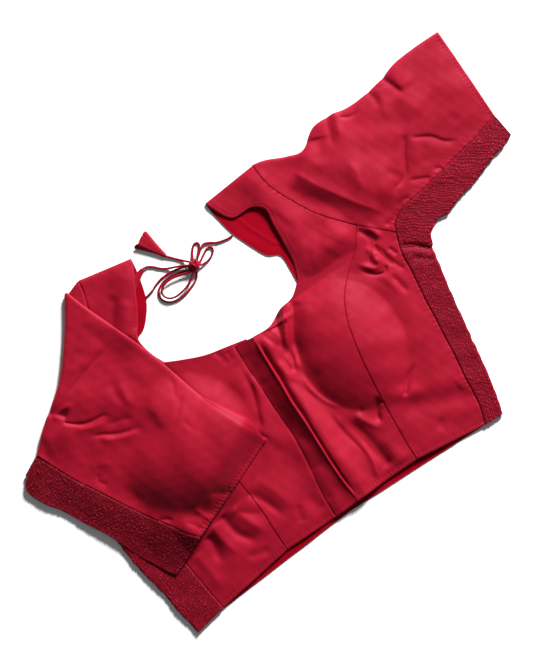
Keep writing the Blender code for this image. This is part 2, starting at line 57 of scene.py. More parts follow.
# the body's upper layer on the wearer's left, a row for each level from the hem up
bodyLeft = (
    # front edge, princess seam, side seam, side fold
    (16,-1, 94,3, 178,-5, 199,-5),
    (13,26, 94,26, 184,16, 204,14),
    (12,52, 95,50, 186,34, 207,32),
    (12,77, 96,73, 187,52, 210,52),
    (12,104, 98,102, 190,78, 213,76),
    (11,130, 101,131, 192,104, 217,102),
    (12,158, 105,154, 194,126, 220,126),
    (12,181, 110,174, 195,145, 223,146),
    (13,212, 119,194, 197,163, 226,164),
    (34,212, 129,207, 199,180, 228,178),
    (54,222, 143,221, 200,200, 231,190),
    (72,226, 157,233, 203,213, 234,198),
    (87,238, 174,256, 207,226, 237,206),
)
neckCorner = 8    # row where the front edge turns into the neck
# the strap above it, up to the shoulder
strapLeft = (
    # neck, armhole
    (87,238, 174,256),
    (94,258, 158,273),
    (96,282, 142,292),
    (97,304, 131,311),
    (98,324, 122,328),
    (86,334, 116,342),
    (61,336, 113,356),
    (46,364, 112,372),
)
bodyRight = (
    # front edge, princess seam, side seam, side fold
    (8,-3, -79,-6, -172,-23, -208,-31),
    (8,22, -80,16, -176,2, -214,0),
    (8,48, -80,40, -180,32, -219,30),
    (8,74, -82,66, -184,60, -225,58),
    (7,100, -86,96, -188,86, -229,84),
    (7,128, -94,124, -191,108, -231,108),
    (7,156, -102,150, -193,128, -232,130),
    (7,184, -110,174, -195,146, -232,148),
    (6,214, -119,194, -197,164, -233,165),
    (-16,218, -129,207, -199,181, -234,178),
    (-42,223, -143,221, -200,200, -236,190),
    (-66,232, -157,233, -203,213, -237,198),
    (-84,240, -174,256, -207,226, -239,206),
)
strapRight = (
    # neck, armhole
    (-84,240, -174,256),
    (-92,257, -158,273),
    (-95,277, -142,292),
    (-87,291, -133,308),
    (-79,304, -128,322),
    (-70,322, -123,338),
    (-60,342, -119,353),
    (-55,356, -117,366),
)
# the back, which lies on the surface: its deep neck and its sides
backLeft = (
    # centre then neck, side seam then armhole
    (0,-7, 178,-5),
    (0,20, 184,16),
    (0,48, 187,52),
    (0,76, 190,78),
    (0,104, 192,104),
    (0,130, 194,126),
    (0,150, 197,163),
    (0,158, 200,200),
    (30,164, 206,225),
    (58,182, 190,241),
    (76,205, 174,256),
    (85,230, 158,273),
    (87,252, 150,282),
    (86,272, 142,292),
    (73,281, 136,301),
    (63,300, 131,311),
    (54,321, 122,328),
    (49,342, 114,350),
    (46,364, 112,372),
)
backRight = (
    # centre then neck, side seam then armhole
    (0,-7, -172,-24),
    (0,20, -176,2),
    (0,48, -180,32),
    (0,76, -184,60),
    (0,104, -188,86),
    (0,130, -193,128),
    (0,150, -197,164),
    (0,158, -200,200),
    (-30,164, -206,225),
    (-58,182, -190,241),
    (-78,205, -174,256),
    (-92,230, -158,273),
    (-97,258, -150,282),
    (-95,277, -142,292),
    (-83,284, -136,301),
    (-69,301, -131,311),
    (-62,317, -126,328),
    (-57,340, -120,350),
    (-55,356, -117,366),
)
backCorner = 7    # row where the centre line turns into the neck
# the spread sleeve, a row for each level from the armhole out to the hem
sleeveLeft = (
    # crown fold, band seam, underarm fold
    (112,372, 207,226, 237,206),
    (128,369, 211,236, 245,212),
    (150,360, 220,242, 255,216),
    (169,356, 231,246, 265,215),
    (190,371, 248,249, 277,220),
    (211,373, 265,252, 289,224),
    (235,370, 281,256, 302,227),
    (261,372, 298,260, 317,232),
    (285,377, 315,264, 331,238),
    (308,384, 331,267, 344,243),
    (335,387, 348,272, 357,246),
    (363,388, 367,278, 371,252),
)
# the folded sleeve, from the line where it turns back on itself out to the hem
sleeveRight = (
    # crown fold, band seam, underarm fold
    (-134,359, -255,225, -277,214),
    (-125,334, -246,204, -286,201),
    (-112,304, -234,180, -279,181),
    (-100,276, -219,156, -264,160),
    (-88,244, -204,131, -250,135),
    (-78,212, -188,106, -235,110),
    (-67,179, -172,84, -223,82),
    (-51,145, -161,68, -209,56),
    (-34,109, -151,57, -196,35),
)
turnLine = ((-134, 359), (-163, 314), (-194, 276), (-225, 252), (-255, 225))
turnOutward = (-0.74, 0.67)    # across the turn line, away from the body

cups = (
    # centre, half lengths, height, fullness, softness of the rim
    ((98, 150), (62, 76), 12, 2, 1.25),
    ((106, 147), (68, 79), 3.6, 4, 1.1),
    ((-98, 147), (66, 80), 17, 2, 1.5),
)
# Folds and creases: each row is its points, its width to the left and to the right as you walk
# along them, its height (below zero for a trough), how sharp it is, and over what shares of its
# length it fades in and out. The large folds give the front its form.
largeFolds = (
    ((150,345, 206,262), 13, 13, -1.3, 2, 0, 0),
    ((178,336, 222,274), 22, 22, 2.8, 2, 0, 0),
    ((212,352, 200,290), 14, 14, 1.6, 2, 0, 0),
    ((236,308, 335,326), 45, 45, 3.8, 2, 0, 0),
    ((100,20, 104,70, 150,60), 44, 44, 2.6, 2, 0, 0),
    ((90,250, 130,252, 172,264), 20, 16, 5.4, 2, 0.3, 0.3),
    ((104,350, 112,290), 16, 16, 3.5, 2, 0, 0),
    ((-72,338, -104,288), 18, 18, 4.6, 2, 0, 0),
    ((30,196, 72,206), 14, 14, 3.5, 2, 0, 0),
    ((44,178, 40,96), 10, 10, -1.2, 2, 0, 0),
    ((-24,178, -30,100), 12, 12, 2.5, 2, 0, 0),
    ((-190,262, -120,210), 20, 20, 3, 2, 0, 0),
    ((-130,16, -50,26), 34, 34, 2, 2, 0, 0),
    ((-176,76, -110,84, -60,92), 30, 30, 6.5, 2, 0.2, 0.3),
    ((-6,-8, -6,60, -6,112), 11, 9, 2.4, 2, 0, 0.2),
    ((-206,172, -170,166, -136,158, -112,138, -98,112), 40, 22, 0.6, 2, 0.2, 0.2),
)


def toModel(points):
    # garment millimetres to metres in the part's frame
    moved = np.array(points, float)
    moved[..., 0] -= garment["boxCentre"][0]
    moved[..., 1] -= garment["boxCentre"][1]
    return moved * mm


def onCurve(points, places, corner=None):
    # place 1.5 is half way from the second point to the third; the curve is sharp at corner
    points = np.array(points, float)
    places = np.atleast_1d(np.array(places, float))
    last = len(points) - 1
    start = np.clip((places + 1e-6).astype(int), 0, last - 1)
    t = (places - start)[:, None]
    before = np.maximum(start - 1, 0)
    after = np.minimum(start + 2, last)
    if corner is not None:
        before = np.where(start == corner, start, before)
        after = np.where(start + 1 == corner, start + 1, after)
    p0, p1, p2, p3 = points[before], points[start], points[start + 1], points[after]
    return 0.5 * (2 * p1 + (p2 - p0) * t + (2 * p0 - 5 * p1 + 4 * p2 - p3) * t ** 2
                  + (3 * p1 - p0 - 3 * p2 + p3) * t ** 3)


def column(table, index):
    return [row[2 * index:2 * index + 2] for row in table]


def runAlong(points):
    # distance along the points, or along the rows of a grid, from the first
    steps = np.linalg.norm(np.diff(points, axis=0), axis=-1)
    return np.concatenate((np.zeros((1, *steps.shape[1:])), np.cumsum(steps, axis=0)))


def pointAt(line, run, goal):
    return np.stack([np.interp(goal, run, part) for part in line.T], axis=-1)


def smoothStep(values):
    share = np.clip(values, 0, 1)
    return share * share * (3 - 2 * share)


def bell(distance, width):
    return np.exp(-(distance / width) ** 2)


def hexColour(code):
    # sRGB hex to the linear colour that Blender wants
    linear = []
    for start in (0, 2, 4):
        value = int(code[start:start + 2], 16) / 255
        linear.append(value / 12.92 if value <= 0.04045 else ((value + 0.055) / 1.055) ** 2.4)
    return (*linear, 1.0)


def plug(tree, node, links):
    for key, socket in links.items():
        tree.links.new(socket, node.inputs[key])


def addNode(tree, kind, settings=None, links=None):
    node = tree.nodes.new("ShaderNode" + kind)
    for key, value in (settings or {}).items():
        if isinstance(key, int) or key in node.inputs:
            node.inputs[key].default_value = value
        else:
            setattr(node, key, value)
    plug(tree, node, links or {})
    return node


def addRamp(tree, source, low, high, lowAt=0.0, highAt=1.0):
    ramp = addNode(tree, "ValToRGB", links={"Fac": source})
    for stop, place, colour in zip(ramp.color_ramp.elements, (lowAt, highAt), (low, high)):
        stop.position = place
        stop.color = colour
    return ramp.outputs["Color"]


def newMaterial(name, settings):
    material = bpy.data.materials.new(name)
    material.use_nodes = True
    shader = material.node_tree.nodes["Principled BSDF"]
    for key, value in settings.items():
        shader.inputs[key].default_value = value
    return material, material.node_tree, shader


def makeMottled(name, settings, noise, tones, stops=(0.0, 1.0), relief=None):
    # one colour with a faint mottle, which also stands out where relief has its settings
    material, tree, shader = newMaterial(name, settings)
    place = addNode(tree, "TexCoord")
    mottle = addNode(tree, "TexNoise", noise, {"Vector": place.outputs["Object"]}).outputs["Fac"]
    low, high = [hexColour(tone) for tone in tones]
    plug(tree, shader, {"Base Color": addRamp(tree, mottle, low, high, *stops)})
    if relief:
        bump = addNode(tree, "Bump", relief, {"Height": mottle})
        plug(tree, shader, {"Normal": bump.outputs["Normal"]})
    return material


def pickOnly(*pieces):
    for thing in bpy.context.selected_objects:
        thing.select_set(False)
    for piece in pieces:
        piece.select_set(True)
        bpy.context.view_layer.objects.active = pieces[0]


def applyModifier(piece, kind, settings):
    modifier = piece.modifiers.new(kind.lower(), kind)
    for key, value in settings.items():
        setattr(modifier, key, value)
    pickOnly(piece)
    bpy.ops.object.modifier_apply(modifier=modifier.name)


def giveTo(piece, node=None):
    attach(piece, "root")
    if node:
        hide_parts(node)


print("camera, floor and light")

view = {
    "over": (28, 208),       # mm, the place on the garment under the lens
    "height": 733,           # mm of the garment that the view takes in, top to bottom
    "turn": -32,             # degrees, the garment lies askew under the lens
    "distance": 1.9,         # m
}
studio = {
    "keyFrom": (0.8, 0.6),   # direction across the floor towards the light
    "keyOut": 4.2,           # m across the floor and
    "keyUp": 2.2,            # m above it
    "keySize": 1.3,
    "keyPower": 790,
    "fillFrom": (-0.9, -0.5, 1.8),
    "fillSize": 1.6,
    "fillPower": 0.6,
    "skyStrength": 0.17,
    "floorSize": 20,
}

overX, overY = toModel((*view["over"], 0))[:2]
bpy.ops.object.camera_add(location=(overX, overY, view["distance"]),
                          rotation=(0, 0, math.radians(view["turn"])))
camera = bpy.context.object
camera.name = "camera"
camera.data.sensor_width = 36
camera.data.lens = camera.data.sensor_width * view["distance"] / (view["height"] * mm)
bpy.context.scene.camera = camera
bpy.context.scene.view_settings.view_transform = "Standard"

bpy.ops.mesh.primitive_plane_add(size=studio["floorSize"])
floor = bpy.context.object
floor.name = "floor"


def addAreaLight(name, away, size, power):
    # away is where it stands from the point under the lens, and it shines on that point
    bpy.ops.object.light_add(type="AREA", location=(overX + away[0], overY + away[1], away[2]))
    light = bpy.context.object
    light.name = name
    light.data.shape = "DISK"
    light.data.size = size
    light.data.energy = power
    light.rotation_euler = (math.atan2(math.hypot(away[0], away[1]), away[2]), 0,
                            math.atan2(away[1], away[0]) + math.pi / 2)


keyX, keyY = studio["keyFrom"]
addAreaLight("keyLight", (keyX * studio["keyOut"], keyY * studio["keyOut"], studio["keyUp"]),
             studio["keySize"], studio["keyPower"])
addAreaLight("fillLight", studio["fillFrom"], studio["fillSize"], studio["fillPower"])

sky = bpy.data.worlds.new("studioSky")
bpy.context.scene.world = sky
sky.use_nodes = True
sky.node_tree.nodes["Background"].inputs["Color"].default_value = hexColour("F4F6F8")
sky.node_tree.nodes["Background"].inputs["Strength"].default_value = studio["skyStrength"]

# matt white board: nearly featureless, with only a faint mottle
floor.data.materials.append(makeMottled("mattWhiteBoard", {"Roughness": 0.9},
                                        {"Scale": 3, "Detail": 2}, ("F2F2F2", "F8F8F8")))

print("cords")

cordStyle = {
    "diameter": 2.4,          # mm, a narrow strip of the cloth rolled and stitched
    "step": 0.9,              # mm between points along it
    "slack": 0.05,            # how much its thickness comes and goes
}
knotStyle = {
    "centre": (0.6, 313.0, 5.0),
    "lump": (5.9, 5.6, 3.5),  # mm, half lengths of the cord's heap inside
    "strand": 1.45,           # mm, half thickness
    # three strands lie side by side round it, and two across them
    "windings": (             # direction in degrees, mm off the centre, reach, height
        (28, -3.4, 5.2, 3.3), (28, -0.3, 5.2, 3.3), (28, 2.9, 5.2, 3.3),
        (118, 0.6, 5.9, 4.0), (72, -2.6, 5.0, 3.5)),
}

# each stretch of the tie cord: its CAD solid, its far end and the x,y,z points of its run
cordRoutes = {
    "doriLeft": ("dori_left", "knot", (
        53.2,318.7,1.2, 48,318.5,1.2, 41.2,319.5,1.2, 34,321.5,1.2, 28,325.2,1.2, 21,327.6,2.4,
        15.5,324.5,4.6, 9.5,319.5,5.6, 5,316,5.4)),
    "doriRight": ("dori_right", "knot", (
        -63.6,311.4,1.2, -54.5,313.6,1.2, -47,317.2,1.2, -38.6,319.8,1.2, -29,320.6,1.2, -20,319.8,1.4,
        -12,318,2.4, -7.9,316.6,3.4, -4,315.2,4.4)),
    "loopNear": ("bow_loop_small_near", "knot", (
        0.8,315.6,3.6, 2.6,320.6,2.4, 6.2,327,1.3, 11,332.4,1.2, 15.2,333,1.2, 16.6,329.6,1.3,
        12.4,323.6,1.8, 7.2,318.2,3, 4.2,315.4,3.8)),
    "loopFar": ("bow_loop_small_far", "knot", (
        5,312.6,4.2, 8.4,313.6,3, 15.2,317.9,1.3, 21.6,321.4,1.2, 26.2,320.6,1.2, 26.4,316.6,1.2,
        22,312.2,1.2, 15.5,309.6,1.3, 8.2,309.2,2.8, 4.6,310.6,4)),
    "bowOuter": ("bow_loop_outer", "knot", (
        -4,311.4,3.4, -7.6,311.6,2.2, -14.5,313.8,1.3, -23.5,316.2,1.2, -32,316.6,1.2, -40,315,1.2,
        -46.6,311.4,1.2, -50.2,305.6,1.2, -49.6,298.8,1.2, -44.4,293.2,1.2, -36,290.6,1.2, -27,291,1.2,
        -18,293.6,1.2, -9.4,297.2,1.2, -4.2,301.2,1.6, -2.4,305.2,2.6, -1.4,308.6,3.6)),
    "bowInner": ("bow_loop_inner", "knot", (
        -4.6,310.4,5.4, -7.4,309.4,4.9, -14.5,311.2,4.2, -24,313.2,4, -33,313.6,4, -40.6,311.8,4,
        -45.4,307.6,4, -46,301.8,4, -42,296.6,4, -34.6,294.6,4, -26.4,295.6,4, -18.6,297.8,4,
        -11.4,301.6,4.2, -6.4,306,4.9, -4,308.8,5.4)),
    "tailNear": ("dori_tail_near", "fitting", (
        0,316.6,5.4, -3.2,319.8,4.2, -8.3,324.8,1.6, -12.3,328.9,1.2, -16.7,333.5,1.2, -20.6,338,1.8,
        -23.4,343.4,2, -25.2,347.6,2.1)),
    "tailFar": ("dori_tail_far", "fitting", (
        -3.2,315.4,6.4, -6.6,317,6.3, -14.1,320.6,5.2, -21.3,323.6,3.4, -27.9,326.4,1.6,
        -33.8,330.4,1.2, -38.8,335.3,1.2, -43.8,338.8,1.6, -49.4,339.6,3, -54.6,338,3.3)),
}


# rolled strip of the same satin: a soft sheen, with the slight twist of its rolling
rolledCord = makeMottled(
    "rolledSatinCord",
    {"Roughness": 0.5, "Specular IOR Level": 0.4, "Specular Tint": hexColour("F06078")},
    {"Scale": 420, "Detail": 3}, ("640412", "800C20"), (0.3, 0.7),
    {"Strength": 0.35, "Distance": 0.0003})


def alongRoute(route):
    # evenly spaced points on the smooth curve through the route, none lower than the surface
    fine = onCurve(route, np.linspace(0, len(route) - 1, 60 * len(route)))
    run = runAlong(fine)
    goals = np.linspace(0, run[-1], max(8, round(run[-1] / cordStyle["step"])) + 1)
    points = pointAt(fine, run, goals)
    points[:, 2] = np.maximum(points[:, 2], cordStyle["diameter"] / 2)
    return points, run[-1]


def layCord(name, node, route, seed):
    points, length = alongRoute(route)
    curve = bpy.data.curves.new(name, "CURVE")
    curve.dimensions = "3D"
    curve.bevel_depth = cordStyle["diameter"] / 2 * mm
    curve.bevel_resolution = 4
    curve.use_fill_caps = True
    spline = curve.splines.new("POLY")
    spline.points.add(len(points) - 1)
    for index, (spot, point) in enumerate(zip(spline.points, toModel(points))):
        wave = math.sin(index * 0.55 + seed * 2.3)
        spot.co = (*point, 1.0)
        spot.radius = 1 + cordStyle["slack"] * wave * math.sin(index * 0.21)
    cord = bpy.data.objects.new(name, curve)
    bpy.context.scene.collection.objects.link(cord)
    cord.data.materials.append(rolledCord)
    giveTo(cord, node)
    return cord, tuple(toModel(points[0])), length * mm


def joinInto(name, pieces):
    pickOnly(*pieces)
    bpy.ops.object.join()
    joined = bpy.context.object
    joined.name = name
    joined.data.name = name
    bpy.ops.object.transform_apply(location=True, rotation=True, scale=True)
    return joined


def windKnot():
    centre = toModel(knotStyle["centre"])
    strand = knotStyle["strand"]
    pickOnly()
    bpy.ops.mesh.primitive_uv_sphere_add(segments=24, ring_count=14, radius=1, location=centre)
    pieces = [bpy.context.object]
    pieces[0].scale = [half * mm for half in knotStyle["lump"]]
    for turn, offset, reach, height in knotStyle["windings"]:
        angle = math.radians(turn)
        spot = (centre[0] - math.sin(angle) * offset * mm, centre[1] + math.cos(angle) * offset * mm,
                centre[2])
        pickOnly()
        bpy.ops.mesh.primitive_torus_add(major_segments=40, minor_segments=12, location=spot,
                                         rotation=(math.pi / 2, 0, angle), major_radius=reach * mm,
                                         minor_radius=strand * mm)
        ring = bpy.context.object
        ring.scale = (1, (height + strand * 0.3) / reach, 1)
        pieces.append(ring)
    knot = joinInto("tieKnot", pieces)
    knot.data.shade_smooth()
    knot.data.materials.append(rolledCord)
    giveTo(knot, "bow_knot")
    return knot


tieKnot = windKnot()
for seed, (name, (node, farEnd, route)) in enumerate(cordRoutes.items()):
    layCord(name, node, np.reshape(route, (-1, 3)), seed)

print("cloth materials")

clothStyle = {
    "threadSpacing": 0.55,   # mm; the real threads are 0.15 apart, too fine to show
    "specularTint": "FF86A8",
    "sheenTint": "E83850",
}


def makeSatin(name, colours, roughness, sheen, shine):
    # cotton silk satin, woven: long floats give a soft sheen, and the cross threads a faint rib
    material, tree, shader = newMaterial(name, {
        "Specular IOR Level": shine, "Specular Tint": hexColour(clothStyle["specularTint"]),
        "Sheen Weight": sheen, "Sheen Roughness": 0.4,
        "Sheen Tint": hexColour(clothStyle["sheenTint"])})
    flat = addNode(tree, "UVMap", {"uv_map": "clothUv"}).outputs["UV"]    # mm on the cloth
    waves = [addNode(tree, "TexWave", {"Scale": math.pi / 10 / clothStyle["threadSpacing"],
                                       "Distortion": 0.6, "Detail": 1, "bands_direction": way},
                     {"Vector": flat}).outputs["Fac"] for way in ("X", "Y")]
    weave = addNode(tree, "Math", {"operation": "MULTIPLY"}, {0: waves[0], 1: waves[1]})
    stretched = addNode(tree, "Mapping", {"Scale": (0.9, 0.045, 1)}, {"Vector": flat})
    slubs = addNode(tree, "TexNoise", {"Scale": 1.0, "Detail": 4, "Roughness": 0.6},
                    {"Vector": stretched.outputs["Vector"]}).outputs["Fac"]
    dye = addNode(tree, "TexNoise", {"Scale": 0.018, "Detail": 3, "Roughness": 0.55},
                  {"Vector": flat})
    dark, light, wornAndSheen = [hexColour(code) for code in colours]
    tone = addRamp(tree, dye.outputs["Fac"], dark, light, 0.3, 0.7)
    threads = addRamp(tree, slubs, (0.93, 0.93, 0.93, 1), (1.05, 1.05, 1.05, 1), 0.35, 0.65)
    threaded = addNode(tree, "Mix", {"data_type": "RGBA", "blend_type": "MULTIPLY", 0: 1.0},
                       {6: tone, 7: threads})
    # lighter along turned edges: worn dye and a painted sheen
    edge = addNode(tree, "Attribute", {"attribute_name": "edgeWearAndSheen"})
    base = addNode(tree, "Mix", {"data_type": "RGBA", 7: wornAndSheen},
                   {0: edge.outputs["Fac"], 6: threaded.outputs[2]})
    rough = addNode(tree, "MapRange", {"To Min": roughness - 0.05, "To Max": roughness + 0.06},
                    {"Value": slubs})
    ribs = addNode(tree, "Bump", {"Strength": 0.25, "Distance": 0.00012},
                   {"Height": weave.outputs["Value"]})
    slack = addNode(tree, "Bump", {"Strength": 0.3, "Distance": 0.0004},
                    {"Height": slubs, "Normal": ribs.outputs["Normal"]})
    plug(tree, shader, {"Base Color": base.outputs[2], "Roughness": rough.outputs["Result"],
                        "Normal": slack.outputs["Normal"]})
    return material


# the third colour is the lighter edge tone: worn dye and a painted sheen
satin = makeSatin("cottonSilkSatin", ("7C0719", "86091E", "A01832"), 0.58, 0.1, 0.32)
satinInside = makeSatin("satinWrongSide", ("7C0010", "860014", "900A1E"), 0.65, 0.0, 0.12)

shirredStyle = {
    "gatherSpacing": 2.1,     # mm from one gather to the next
    "threadSpacing": 4.2,     # mm between the rows of elastic thread
    "gatherHeight": 0.95,
    # colours set by the puff: painted shade in the gathers (valley), painted highlight on their crests
    # (crest)
    "valley": "50030A",
    "crest": "820C22",
}


def makeShirred():
    # the same satin pulled up on elastic thread, with painted shade in the gathers and a painted
    # highlight on their crests
    material, tree, shader = newMaterial("shirredSatin", {
        "Specular IOR Level": 0.25, "Specular Tint": hexColour(clothStyle["specularTint"])})
    flat = addNode(tree, "UVMap", {"uv_map": "clothUv"})
    puff = addNode(tree, "Attribute", {"attribute_name": "puff"}).outputs["Fac"]
    fine = addNode(tree, "TexNoise", {"Scale": 0.9, "Detail": 3},
                   {"Vector": flat.outputs["UV"]}).outputs["Fac"]
    level = addNode(tree, "Math", {"operation": "MULTIPLY_ADD", 1: 0.5}, {0: fine, 2: puff})
    # painted shade where the gathers sink, painted highlight where they puff up
    tone = addRamp(tree, level.outputs["Value"], hexColour(shirredStyle["valley"]),
                   hexColour(shirredStyle["crest"]), 0.25, 1.0)
    rough = addNode(tree, "MapRange", {"To Min": 0.66, "To Max": 0.52}, {"Value": puff})
    bump = addNode(tree, "Bump", {"Strength": 0.5, "Distance": 0.0004}, {"Height": fine})
    plug(tree, shader, {"Base Color": tone, "Roughness": rough.outputs["Result"],
                        "Normal": bump.outputs["Normal"]})
    return material


shirred = makeShirred()

print("folds and creases of the front")

